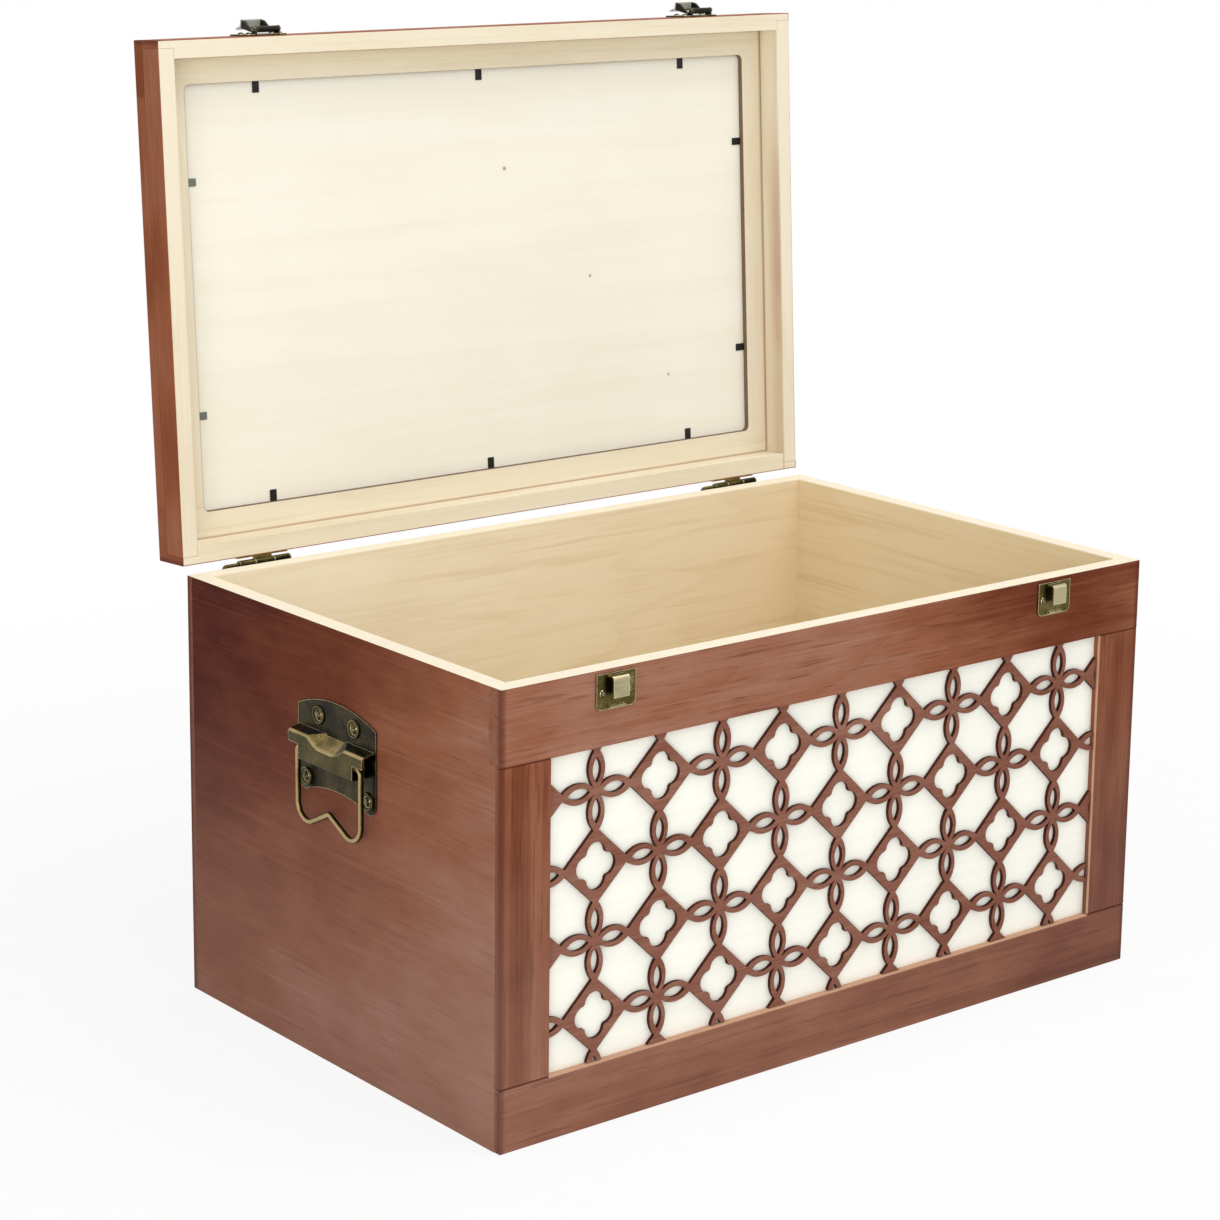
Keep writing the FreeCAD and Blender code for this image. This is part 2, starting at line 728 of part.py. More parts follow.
def latch_hook(middle_x):
    """Return the hook, worked out latched under the strap and then folded back over its base."""
    inner = strap_stand + hook_gap
    outer = inner + sheet
    nose_top = strap_foot - nose_gap
    nose_foot = nose_top - sheet
    neck = latch_pivot_lift - latch_knuckle_radius - hook_neck
    tab_out = outer + tab_flare
    tab_foot = nose_foot - tab_length
    outline = [
        front_place(latch_pivot_stand, latch_pivot_lift - latch_knuckle_radius),
        front_place(inner, neck),
        front_place(inner, nose_top),
        front_place(inner - nose_reach, nose_top),
        front_place(inner - nose_reach, nose_foot),
        front_place(inner, nose_foot),
        front_place(tab_out - sheet, tab_foot),
        front_place(tab_out, tab_foot),
        front_place(outer, nose_foot),
        front_place(outer, neck),
        front_place(latch_pivot_stand + latch_knuckle_radius, latch_pivot_lift),
    ]
    half = hook_width / 2
    ends = (middle_x - half, middle_x + half)
    hook = prism_x(outline, *ends).fuse(rod_x(latch_knuckle_radius, *ends, *latch_pivot()))
    cheek = [
        front_place(outer, neck),
        front_place(inner, neck),
        front_place(inner - nose_reach, nose_top + cheek_rise),
        front_place(inner - nose_reach, nose_foot),
        front_place(outer, nose_foot),
    ]
    for low_x in (ends[0], ends[1] - sheet):
        hook = hook.fuse(prism_x(cheek, low_x, low_x + sheet))
    window_half = hook_window_width / 2
    window_middle = (neck + nose_top) / 2
    window_low = body_height + window_middle - hook_window_height / 2
    window = block(
        (middle_x - window_half, middle_x + window_half),
        (front_face - outer - overrun, front_face - inner + sheet),
        (window_low, window_low + hook_window_height),
    )
    bore = rod_x(latch_pin_radius + latch_pin_play, ends[0] - overrun, ends[1] + overrun, *latch_pivot())
    hook = hook.cut(window).cut(bore).removeSplitter()
    hook.rotate(Vector(0, *latch_pivot()), X_AXIS, -hook_fold_angle)
    return hook


def catch_seats():
    """Return the screw seats on both catches."""
    seats = []
    for middle_x in (-latch_x, latch_x):
        for offset in (-catch_screw_spacing / 2, catch_screw_spacing / 2):
            seats.append(Vector(middle_x + offset, front_face - sheet, body_height - catch_screw_drop))
    return seats


def latch_seats():
    """Return the screw seats on both latch bases."""
    seats = []
    for middle_x in (-latch_x, latch_x):
        for offset in (-latch_screw_spacing / 2, latch_screw_spacing / 2):
            for lift in (latch_screw_lift, latch_screw_lift + latch_screw_rise):
                seats.append(Vector(middle_x + offset, front_face - sheet, body_height + lift))
    return seats


# Chest handles, worked out on the left end, with distances measured out from its face
def left_place(stand, y, lift):
    """Return a point out from the left end, y behind the handle's middle and lifted above its rod."""
    return Vector(-half_length - stand, y - handle_forward, handle_height + lift)


def handle_plate(holes):
    """Return the stamped plate: an arched shield, two round feet and a hood that carries the rod."""
    half = handle_width / 2
    foot_y = half - foot_radius
    foot_z = foot_radius - plate_drop
    turn = math.radians(foot_turn_angle)
    hollow_y = foot_y - foot_radius * math.sin(turn)
    hollow_z = foot_z - foot_radius * math.cos(turn)
    corner = left_place(0, half, plate_rise)
    far_corner = left_place(0, -half, plate_rise)
    foot_side = left_place(0, half, foot_z)
    far_foot_side = left_place(0, -half, foot_z)
    hollow_end = left_place(0, hollow_y, hollow_z)
    far_hollow_end = left_place(0, -hollow_y, hollow_z)
    edges = [
        Part.Arc(far_corner, left_place(0, 0, plate_rise + plate_arch), corner).toShape(),
        Part.makeLine(corner, foot_side),
        Part.Arc(foot_side, left_place(0, foot_y, -plate_drop), hollow_end).toShape(),
        Part.Arc(hollow_end, left_place(0, 0, plate_hollow - plate_drop), far_hollow_end).toShape(),
        Part.Arc(far_hollow_end, left_place(0, -foot_y, -plate_drop), far_foot_side).toShape(),
        Part.makeLine(far_foot_side, far_corner),
    ]
    plate = Part.Face(Part.Wire(edges)).extrude(-X_AXIS * sheet)
    return plate.fuse(handle_hood()).cut(holes).removeSplitter()


def prism_y(outline, y_low, y_high, radii):
    """Return an outline of (stand, lift) points on the left end carried along Y."""
    points = [left_place(stand, y_low, lift) for stand, lift in outline]
    return Part.Face(rounded_wire(points, radii)).extrude(Y_AXIS * (y_high - y_low))


def hood_top(stand):
    """Return the lift of the hood's sloping top at a distance out from the end board."""
    return hood_root + (hood_brow - hood_root) * stand / hood_stand


def dent_section(stand, depth_share):
    """Return the dent's rounded outline at a distance out from the end board, at a share of its depth."""
    depth = hood_dent * depth_share
    over = depth * dent_over_share
    floor = hood_dent_floor / 2
    flare = (hood_dent_width / 2 - floor) / hood_dent
    brim = floor + flare * (depth + over)
    top = hood_top(stand)
    points = [
        left_place(stand, brim, top + over),
        left_place(stand, floor, top - depth),
        left_place(stand, -floor, top - depth),
        left_place(stand, -brim, top + over),
    ]
    valley = hood_dent_round * depth_share
    return rounded_wire(points, [0, valley, valley, 0])


def dent_wedge():
    """Return what the dent takes off the hood: its outline growing from the plate to past the brow."""
    root = dent_section(0, dent_root_share)
    brow = dent_section(hood_stand * dent_reach_share, dent_reach_share)
    return Part.makeLoft([root, brow], True, True)


def handle_hood():
    """Return the dented hood, bored for the rod and hollow at its ends, where the bail's legs come out."""
    half = hood_width / 2
    tongue = hood_tongue / 2
    outline = [
        (0, hood_root),
        (hood_stand, hood_brow),
        (hood_stand, -hood_drop),
        (0, -hood_drop),
    ]
    hood = prism_y(outline, -half, half, [0, hood_round, sheet, 0]).cut(dent_wedge())
    leg_top = bail_radius + bail_swing_room
    leg_way = [
        (0, leg_top),
        (hood_stand + overrun, leg_top),
        (hood_stand + overrun, -hood_drop - overrun),
        (0, -hood_drop - overrun),
    ]
    inner = hood_stand - sheet
    hollow = [
        (sheet, hood_top(sheet) - sheet),
        (inner, hood_top(inner) - sheet),
        (inner, -hood_drop),
        (sheet, -hood_drop),
    ]
    square = [0] * len(hollow)
    pocket = prism_y(hollow, tongue, half + overrun, square)
    notch = prism_y(leg_way, tongue, half + overrun, square).fuse(pocket)
    bore = Part.makeCylinder(bail_radius + bail_play, hood_width, left_place(rod_stand, -half, 0), Y_AXIS)
    return hood.cut(Part.makeCompound([notch, notch.mirror(left_place(0, 0, 0), Y_AXIS)])).cut(bore)


def handle_bail():
    """Return the wire bail: the rod in the hood, two straight legs and a grip with a V at its middle."""
    half = bail_width / 2
    rod_middle = left_place(rod_stand, 0, 0)
    points = [
        rod_middle,
        left_place(rod_stand, half, 0),
        left_place(rod_stand, half, -bail_drop),
        left_place(rod_stand, 0, bail_notch - bail_drop),
        left_place(rod_stand, -half, -bail_drop),
        left_place(rod_stand, -half, 0),
    ]
    leg_radii = [bail_corner, bail_grip_round]
    path = rounded_wire(points, [0, *leg_radii, bail_notch_round, *reversed(leg_radii)])
    section = Part.Wire([Part.makeCircle(bail_radius, rod_middle, Y_AXIS)])
    return path.makePipeShell([section], True, False)


def handle_seats():
    """Return the screw seats on the left handle's plate."""
    upper = upper_screw_spacing / 2
    lower = lower_screw_spacing / 2
    seats = []
    for side in (-1, 1):
        seats.append(left_place(sheet, side * upper, upper_screw_rise))
        seats.append(left_place(sheet, side * lower, -lower_screw_drop))
    return seats


def build():
    """Return every piece of the trunk by name, in the place it has with the lid open."""
    handle_heads = (handle_screw_head_radius, handle_screw_head_height)
    handle_screws, handle_holes = screw_set(handle_seats(), -X_AXIS, *handle_heads)
    catch_screws, catch_holes = screw_set(catch_seats(), -Y_AXIS)
    latch_screws, latch_holes = screw_set(latch_seats(), -Y_AXIS)
    body_screws, body_holes = screw_set(hinge_seats(-1), Y_AXIS)
    lid_screws, lid_holes = screw_set(hinge_seats(1), Y_AXIS)
    pieces = body_boards(handle_holes, catch_holes, body_holes)
    pieces.update(front_insert())
    lid = lid_boards(latch_holes, lid_holes, framers_points(screw_play))
    lid.update(lid_insert())
    lid["framers_points"] = framers_points(0)
    lid["latch_screws"] = Part.makeCompound(latch_screws)
    lid["hinge_lid_screws"] = Part.makeCompound(lid_screws)
    for name, middle_x in (("left", -latch_x), ("right", latch_x)):
        lid[name + "_latch_base"] = latch_base(middle_x).cut(latch_holes)
        lid[name + "_latch_hook"] = latch_hook(middle_x)
        lid[name + "_latch_pin"] = latch_pin(middle_x)
        pieces[name + "_catch"] = catch(middle_x).cut(catch_holes)
    for name, shape in lid.items():
        pieces[name] = swung_open(shape)
    pieces.update(hinges(body_holes, lid_holes))
    pieces["hinge_body_screws"] = Part.makeCompound(body_screws)
    pieces["catch_screws"] = Part.makeCompound(catch_screws)
    left_handle = {
        "handle_plate": handle_plate(handle_holes),
        "handle_bail": handle_bail(),
        "handle_screws": Part.makeCompound(handle_screws),
    }
    for name, shape in left_handle.items():
        pieces["left_" + name] = shape
        pieces["right_" + name] = mirrored(shape)
    return pieces


if __name__ == "__main__":
    os.makedirs("parts", exist_ok=True)
    for node, shape in build().items():
        shape.exportStep("parts/" + node + ".step")
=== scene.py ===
"""A stained wooden trunk with a pierced lattice front, dressed for a studio picture.

The solids come packed, in metres, in one frame: X along the trunk, Y from front to back, Z up.
The boards keep their solids and get eased edges and grain, and the small metalwork gets its patina.
"""

import json
import math
from functools import partialmethod
from typing import NamedTuple

import bpy
import numpy as np
from mathutils import Matrix, Vector

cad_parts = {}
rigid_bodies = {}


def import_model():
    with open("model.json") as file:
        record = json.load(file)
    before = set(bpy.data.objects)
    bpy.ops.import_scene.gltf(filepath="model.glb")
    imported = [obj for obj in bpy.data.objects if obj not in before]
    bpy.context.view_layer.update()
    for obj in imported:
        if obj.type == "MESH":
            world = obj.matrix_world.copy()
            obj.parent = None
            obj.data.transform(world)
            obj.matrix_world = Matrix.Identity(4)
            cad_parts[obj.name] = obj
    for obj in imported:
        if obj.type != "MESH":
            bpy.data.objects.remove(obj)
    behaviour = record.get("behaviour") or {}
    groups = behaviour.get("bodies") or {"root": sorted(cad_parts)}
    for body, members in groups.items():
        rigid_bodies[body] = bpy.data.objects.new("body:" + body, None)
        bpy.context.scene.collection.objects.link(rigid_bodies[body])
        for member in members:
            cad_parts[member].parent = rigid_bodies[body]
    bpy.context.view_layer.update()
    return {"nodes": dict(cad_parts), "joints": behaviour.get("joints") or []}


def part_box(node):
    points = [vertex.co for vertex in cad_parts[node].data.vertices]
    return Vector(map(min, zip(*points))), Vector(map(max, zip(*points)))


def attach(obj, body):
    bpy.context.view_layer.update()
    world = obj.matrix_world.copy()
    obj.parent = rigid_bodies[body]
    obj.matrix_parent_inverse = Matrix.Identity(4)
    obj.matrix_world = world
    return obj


bl_info = {
    "name": "Wooden Trunk",
    "version": (1, 0, 0),
    "blender": (4, 5, 0),
    "location": "View3D > Sidebar > Trunk",
    "description": "Dresses a stained trunk with a pierced lattice front and sets up its studio",
    "category": "Object",
}

for leftover in list(bpy.data.objects):
    bpy.data.objects.remove(leftover)
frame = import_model()
SIDES = ("left", "right")


def joint_named(name):
    """The packed joint of that name."""
    return next(joint for joint in frame["joints"] if joint["name"] == name)


# Places that the frame gives, in metres
LID_HINGE = joint_named("lid_hinge")
LID_TURN = math.radians(LID_HINGE["range_deg"][1])
LID_PIVOT = Vector(LID_HINGE["pos_m"])
HALF_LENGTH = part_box("front_bottom_rail")[1][0]
HALF_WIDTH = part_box("back_panel")[1][1]
BODY_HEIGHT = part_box("back_panel")[1][2]
OPENING_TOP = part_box("front_top_rail")[0][2]
OPENING_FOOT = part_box("front_bottom_rail")[1][2]
OPENING_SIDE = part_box("front_right_stile")[0][0]
LATTICE_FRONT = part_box("front_lattice")[0][1]


def closed_points(name):
    """The points of a lid node where they lie when the lid is closed."""
    points = np.empty(len(frame["nodes"][name].data.vertices) * 3)
    frame["nodes"][name].data.vertices.foreach_get("co", points)
    turn = np.array(Matrix.Rotation(LID_TURN, 3, "X"))
    return (points.reshape(-1, 3) - np.array(LID_PIVOT)) @ turn.T + np.array(LID_PIVOT)


LID_TOP = float(closed_points("lid_top_front")[:, 2].max())
LATTICE_TOP = float(closed_points("lid_lattice")[:, 2].max())
LEDGE = float(closed_points("lid_left_rail")[:, 2].max())
RIM = float(closed_points("lid_left_rail")[:, 2].min())
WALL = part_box("lid_left_rail")[1][0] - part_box("lid_left_rail")[0][0]
RABBET_X, RABBET_Y, _ = (float(reach) for reach in closed_points("lid_backing_board").max(axis=0))

# Sizes that the frame doesn't give, in metres
RABBET_ROUND = 0.004
SHEET = 0.0012
SCREW_HEAD = 0.0033
NOSE_REACH = 0.0199
SCUFFED_POINTS = 0.02 - RABBET_X

# Depths under a face to which a colour goes, in metres
STAIN_DEPTH = 0.0006
INSERT_LIP = 0.0052
BARE_RIM = 0.0001
BARE_TOP = 0.0008
LATTICE_FACE = 0.00025

# Lines on the wood, in metres: each is gone at its first distance and full at its second
SEAM_ACROSS = (0.0018, 0.0004)
SEAM_UP = (0.0022, 0.0005)
# The next two are lines of painted shade: round the backing board and along the front frame's joints
RABBET_SHADE_LINE = (0.0004, 0.0002)
JOINT_SHADE_LINE = (0.0011, 0.0003)
JOINT_FACE = (0.0018 - HALF_WIDTH, 0.0008 - HALF_WIDTH)
LINE_END = 0.0004
RUBBED_FOOT = (0.0016, 0.0005)
RUBBED_SIDE = (0.0013, 0.0004)
RUBBED_LIP = (INSERT_LIP - HALF_WIDTH, 0.005 - HALF_WIDTH)
ARRIS = (0.0048, 0.0012)
RUN_DEPTH = (0.001, 0.0006)
RUN_HEIGHT = (RIM + 0.018, RIM + 0.004)
RUN_LENGTH = (-0.12, -0.02)

# Stretches of the trunk over which painted light, painted shade and a painted floor reflection come in, in
# metres
SHADE_AMBER_SIDE = (-0.1, 0.28)
LIGHT_PALE_SIDE = (0.05, -0.25)
FLOOR_REFLECTION_HEIGHT = (0.26, 0.06)
LATTICE_SHADE_SIDE = (0.02, 0.24)

# Cells of noise in a metre, along the grain and twice across it
BANDS = (2.4, 58, 58)
SLOW_RINGS = (1.1, 11, 11)
FIBRES = (6.5, 520, 520)
PORES = (70, 1700, 1700)
BLOTCHES = (9, 15, 15)
PALE_STREAKS = (5, 130, 130)
DARK_STREAKS = (18, 360, 360)
STAIN_CLOUDS = (16, 34, 34)
HAIRS = (0.7, 75, 75)
BRUSH_STROKES = (9, 300, 300)
PAINT_CLOUDS = (14, 14, 14)
PATINA_CLOUDS = (70, 70, 70)
PATINA_SPECKS = (900, 900, 900)
SCRATCHES = (60, 2200, 2200)
STEEL_SCUFFS = (300, 300, 1500)
PAPER_TOOTH = (40, 40, 40)

# Levels of a field: rings in one swing of the slow noise, and pairs where something starts and is full
RING_COUNT = 9.0
LATE_WOOD = (0.72, 1.0)
OPEN_PORES = (0.6, 0.72)
PALE_STREAK = (0.52, 0.72)
DARK_STREAK = (0.54, 0.7)
HAIR_LEVEL = 0.52
HAIR_LINE = (0.014, 0.003)
PATCH_FADE = (1.0, 0.1)
EDGE_TURN = (0.985, 0.8)
EDGE_SPECKS = (0.25, 0.5)
# Where the painted highlight on a crest starts and is full
CREST_HIGHLIGHT_FACING = (0.35, 0.9)

# How much of a colour shows between two ends of a field
PATCHY_LINE = (0.2, 0.9)
PATCHY_RUN = (0.0, 0.8)
PATCHY_STEEL = (0.4, 0.9)
PAINT_LOW_SHARE = 0.94
STEEL_LOW_SHARE = 0.55

# Roughness between two ends of a field, and depths of bump in metres
BARE_GLOSS = (0.66, 0.54)
STAIN_GLOSS = (0.52, 0.4)
LATTICE_GLOSS = (0.55, 0.4)
PAINT_GLOSS = (0.6, 0.5)
BRASS_GLOSS = (0.38, 0.22)
STEEL_GLOSS = (0.55, 0.4)
GRAIN_DEPTH = 0.0002
BRUSH_DEPTH = 0.0001
SCUFF_DEPTH = 0.0001
PATINA_DEPTH = 0.00015

# Ways that the grain of a board runs, as the turn that brings its fibres along X
ALONG_X = (0.0, 0.0, 0.0)
ALONG_Y = (0.0, 0.0, -math.pi / 2)
ALONG_Z = (0.0, math.pi / 2, 0.0)

# Pin knots of the backing board: place along, place across and radius, in metres
KNOTS = ((0.021, -0.073, 0.0022), (0.098, 0.012, 0.0018), (0.172, 0.094, 0.0016))
KNOT_CORE_SHARE = 0.3

# Where the ply and the lattices are cut from the pattern of the grain
PLY_CUT = (3.1, 0.7, 0.2)
LATTICE_CUT = (0.4, 1.3, 2.2)

# Directions along which the brass is brighter, as rubbed brass and as painted highlight and reflection,
# and the turn that its scratches take within the noise
ACROSS = Vector((1, 0, 0))
DEEP = Vector((0, 1, 0))
NOSE_WAY = Vector((0, 0.989, 0.15))
SCRATCH_TURN = (0.3, 0.5, 0.2)

# Eased edges: the gap that is welded, the sharpest turn left alone, the weight of large faces in the shading
# and the share of the metal's edge that the thin points take
WELD_GAP = 2e-6
SHARP_TURN = math.radians(35)
FACE_WEIGHT = 60
POINT_EDGE_SHARE = 0.4

# A screw cup's closed outline: shares of the dish in from its rim, and shares of its rise
CUP_STEPS = 40
CUP_SHARES = (
    (1.0, 0.0), (0.0, 0.0), (0.0, 0.3), (0.08, 0.75), (0.24, 1.0), (0.42, 0.86), (0.62, 0.5), (0.82, 0.28),
    (1.0, 0.22),
)

# The studio: floor, camera and lamps, each lamp with its place, target and size in metres
FLOOR_REACH = 4.0
FLOOR_DROP = 0.0004
FLOOR_GLOW_FROM = (0.35, 1.3)
FLOOR_GLOW_SHARES = (0.88, 1.0)
WHITE = (1, 1, 1, 1)
SENSOR_WIDTH = 36
LAMPS = (
    ("key", (-1.2, -2.5, 1.8), (0, 0, 0.3), 2.0),
    ("side", (-1.9, -1.3, 0.6), (-HALF_LENGTH, 0, 0.1), 1.1),
    ("fill", (2.3, -2.2, 1.3), (0, 0, 0.25), 2.0),
    ("top", (0.6, -0.6, 2.5), (0, 0, 0.2), 2.0),
)


class DarkPatch(NamedTuple):
    """A darker patch: its middle and its reach in metres, and how much it darkens.

    Some are pooled stain, and some are painted shade.
    """

    middle: tuple
    reach: tuple
    strength: float


class Board(NamedTuple):
    """A board: its node, the turn of its grain, its cut from the pattern, and how it took the stain.

    End_grain is how much darker the stain is on the sawn ends, figure how strongly the growth bands show,
    depth how much darker the stain took on the whole board, and the dark patches are where it is darker:
    pooled stain on the lid, the back and the left stile, and painted shade on the end panels and on the
    right of the front.
    """

    name: str
    grain: tuple
    cut: tuple
    end_grain: float = 0.0
    figure: float = 0.5
    depth: float = 0.0
    dark_patches: tuple = ()
    on_lid: bool = False
    stained: bool = True


def lid_board(name, grain, cut, end_grain, *dark_patches):
    """A board of the lid: all of them have a faint figure and took the stain a little lighter."""
    return Board(name, grain, cut, end_grain, figure=0.3, depth=-0.14, dark_patches=dark_patches, on_lid=True)


BODY_BOARDS = (
    Board(
        "left_end_panel", ALONG_Y, (0.31, 0.12, 0.05), figure=0.1, depth=-0.3,
        # Painted shade: darker towards the top back corner of the left end, where the light falls off
        dark_patches=(DarkPatch((-HALF_LENGTH, 0.2, 0.31), (0.48, 0.48, 0.42), 0.75),),
    ),
    Board(
        "right_end_panel", ALONG_Y, (1.72, 0.44, 0.51), figure=0.12, depth=-0.2,
        # Painted shade: the right end darker towards its top back corner, as on the left end
        dark_patches=(DarkPatch((HALF_LENGTH, 0.2, 0.31), (0.48, 0.48, 0.42), 0.5),),
    ),
    Board(
        "back_panel", ALONG_X, (0.93, 2.21, 0.17), end_grain=0.25, figure=0.25, depth=-0.1,
        dark_patches=(DarkPatch((0.24, HALF_WIDTH, 0.24), (0.3, 0.3, 0.2), 0.3),),
    ),
    Board(
        "front_top_rail", ALONG_X, (2.61, 0.83, 1.27), end_grain=0.2, figure=0.4, depth=-0.2,
        # Painted shade: darker at the right of the top rail, near the right catch
        dark_patches=(DarkPatch((0.2, -HALF_WIDTH, 0.28), (0.17, 0.17, 0.13), 0.42),),
    ),
    Board(
        "front_bottom_rail", ALONG_X, (4.13, 1.64, 0.36), end_grain=0.2, figure=0.4, depth=-0.08,
        # Painted shade: darker towards the right end of the bottom rail
        dark_patches=(DarkPatch((HALF_LENGTH, -HALF_WIDTH, 0.0), (0.3, 0.3, 0.12), 0.3),),
    ),
    Board(
        "front_left_stile", ALONG_Z, (1.15, 3.02, 0.74), figure=0.4, depth=-0.02,
        dark_patches=(DarkPatch((-0.266, -HALF_WIDTH, 0.14), (0.014, 0.05, 0.22), 0.18),),
    ),
    Board(
        "front_right_stile", ALONG_Z, (2.28, 1.93, 2.05), figure=0.4,
        # Painted shade: darker low on the right stile
        dark_patches=(DarkPatch((0.26, -HALF_WIDTH, 0.06), (0.05, 0.05, 0.1), 0.15),),
    ),
    Board("front_lining_board", ALONG_X, (5.2, 0.4, 0.9), stained=False),
    Board("floor_panel", ALONG_X, (6.3, 1.2, 0.1), stained=False),
)
LID_BOARDS = (
    lid_board("lid_front_rail", ALONG_X, (0.42, 1.11, 0.63), 0.2),
    lid_board("lid_back_rail", ALONG_X, (1.37, 0.26, 1.84), 0.2),
    lid_board(
        "lid_left_rail", ALONG_Y, (2.74, 1.45, 0.92), 0.0,
        DarkPatch((-HALF_LENGTH, -0.03, 0.31), (0.1, 0.05, 0.03), 0.28),
        DarkPatch((-HALF_LENGTH, 0.1, 0.31), (0.1, 0.06, 0.03), 0.24),
    ),
    lid_board("lid_right_rail", ALONG_Y, (3.39, 0.58, 1.31), 0.0),
    lid_board(
        "lid_top_front", ALONG_X, (4.06, 2.37, 0.48), 0.2,
        DarkPatch((-HALF_LENGTH, -0.15, 0.325), (0.04, 0.05, 0.03), 0.3),
    ),
    lid_board("lid_top_back", ALONG_X, (0.85, 3.16, 1.09), 0.2),
    lid_board(
        "lid_top_left", ALONG_Y, (1.93, 0.71, 2.42), 0.0,
        DarkPatch((-HALF_LENGTH, -0.02, 0.325), (0.1, 0.06, 0.03), 0.25),
    ),
    lid_board("lid_top_right", ALONG_Y, (2.55, 1.88, 0.33), 0.0),
)


def srgb(red, green, blue):
    """A colour written in 0 to 255 steps, as the linear shares that a shader takes."""
    shares = [step / 255 for step in (red, green, blue)]
    return tuple(share / 12.92 if share <= 0.04045 else ((share + 0.055) / 1.055) ** 2.4 for share in shares)


def colour(name, description, red, green, blue):
    """A colour property with its default written in 0 to 255 steps."""
    return bpy.props.FloatVectorProperty(
        name=name, description=description, default=srgb(red, green, blue), size=3, min=0, max=1,
        subtype="COLOR",
    )


def number(name, description, default, **kind):
    """A number property, with a subtype, a unit or a least value where one fits."""
    return bpy.props.FloatProperty(name=name, description=description, default=default, **kind)


def length(name, description, default):
    """A length property in metres."""
    return number(name, description, default, min=0, precision=5, subtype="DISTANCE", unit="LENGTH")


class WoodFinish(bpy.types.PropertyGroup):
    """Colours of the stained and bare boards, and how far their edges are eased."""

    # Also the colour that painted shade darkens the stain towards, in the dark patches and along the frame's
    # joints
    dark_stain_and_shade: colour("Stain dark", "Stain where it has pooled and in the pores", 74, 23, 9)
    # Also the colour of the painted shade towards the right of the lattice
    deep_stain_and_shade: colour("Stain deep", "Stain where it took well", 110, 55, 33)
    stain_middle: colour("Stain middle", "Stain over most of the board", 144, 88, 63)
    stain_light: colour("Stain light", "Stain on the hard pale fibres", 166, 122, 103)
    stain_lid: colour("Lid stain", "Warmer stain that the lid took", 176, 92, 44)
    seam: colour("Seam", "Brown line along the joints inside the lid", 168, 122, 80)
    # Painted shade: the gap shadow on the rabbet's wall round the backing board
    rabbet: colour("Rabbet", "Brown wall of the rabbet round the backing board", 92, 54, 32)
    bare_dark: colour("Bare dark", "Late wood of the unstained boards", 218, 194, 152)
    bare_middle: colour("Bare middle", "Most of the unstained boards", 244, 230, 200)
    bare_light: colour("Bare light", "Early wood of the unstained boards", 246, 236, 213)
    bare_grey: colour("Bare grey", "Greyer bare wood of the lid", 224, 219, 204)
    bleed: colour("Bleed", "Stain that has run onto the inside of the lid", 168, 112, 84)
    # Painted light: the bare wood made paler on the top edges and towards the left
    painted_light_bare: colour("Bare edge", "Freshly sanded top edges of the walls", 250, 240, 218)
    rubbed: colour("Rubbed edge", "Stain rubbed through round the foot of the opening", 206, 164, 134)
    # Painted reflection of the white floor: the stain greyer and paler towards the floor
    floor_reflection: colour("Dulled stain", "Greyed stain towards the floor", 140, 125, 118)
    # Painted shade: the bare wood darker and warmer towards the right
    shade_amber: colour("Amber", "Warmer bare wood at the right end", 222, 186, 116)
    ply_middle: colour("Ply middle", "Backing board of the lid", 241, 236, 218)
    ply_light: colour("Ply light", "Palest fibres of the backing board", 246, 243, 229)
    knot: colour("Knot", "Pin knots in the backing board", 150, 118, 78)
    eased_edge: length("Eased edge", "Width of the eased arris on a board", 0.00065)


class InsertFinish(bpy.types.PropertyGroup):
    """Colours of the lattice and the white panel behind it."""

    face: colour("Lattice face", "Stained face of the lattice", 136, 90, 74)
    cut_edge: colour("Lattice edge", "Scorched edge where the lattice is cut through", 52, 24, 14)
    white: colour("White panel", "Painted panel behind the lattice", 255, 254, 243)
    eased_edge: length("Eased edge", "Width of the eased arris on the lattice", 0.0003)


class MetalFinish(bpy.types.PropertyGroup):
    """Colours of the antique brass and of the black steel points."""

    patina: colour("Patina", "Darkened brass in the hollows", 25, 21, 9)
    brass: colour("Brass", "Worn brass on the flats", 100, 88, 48)
    # Also the top of the painted highlight on the wire, the hinge barrels and the handle plate's crest
    gold: colour("Gold", "Brass kept bright by handling", 172, 150, 104)
    pale_brass: colour("Pale brass", "Greyed brass on the strap of a catch", 176, 166, 132)
    # The bright edges are rubbed brass with a painted highlight
    bright: colour("Bright", "Rubbed brass on the edges", 226, 212, 170)
    # The bright nose of a latch is a painted reflection
    silver: colour("Silver", "Bare metal on the nose of a latch", 214, 214, 204)
    bare_steel: colour("Bare steel", "Scuffed steel of the points on the left", 132, 138, 126)
    steel: colour("Steel", "Blackened steel of the framer's points", 42, 42, 40)
    eased_edge: length("Eased edge", "Width of the rolled edge on the metalwork", 0.0003)
    cup_radius: length("Cup radius", "Radius of the dished cup round a handle screw", 0.0064)
    cup_rise: length("Cup rise", "Height of the cup's rolled rim over the handle plate", 0.0013)
    upper_screws: length("Upper screws", "Distance between the upper screws of a handle", 0.040)


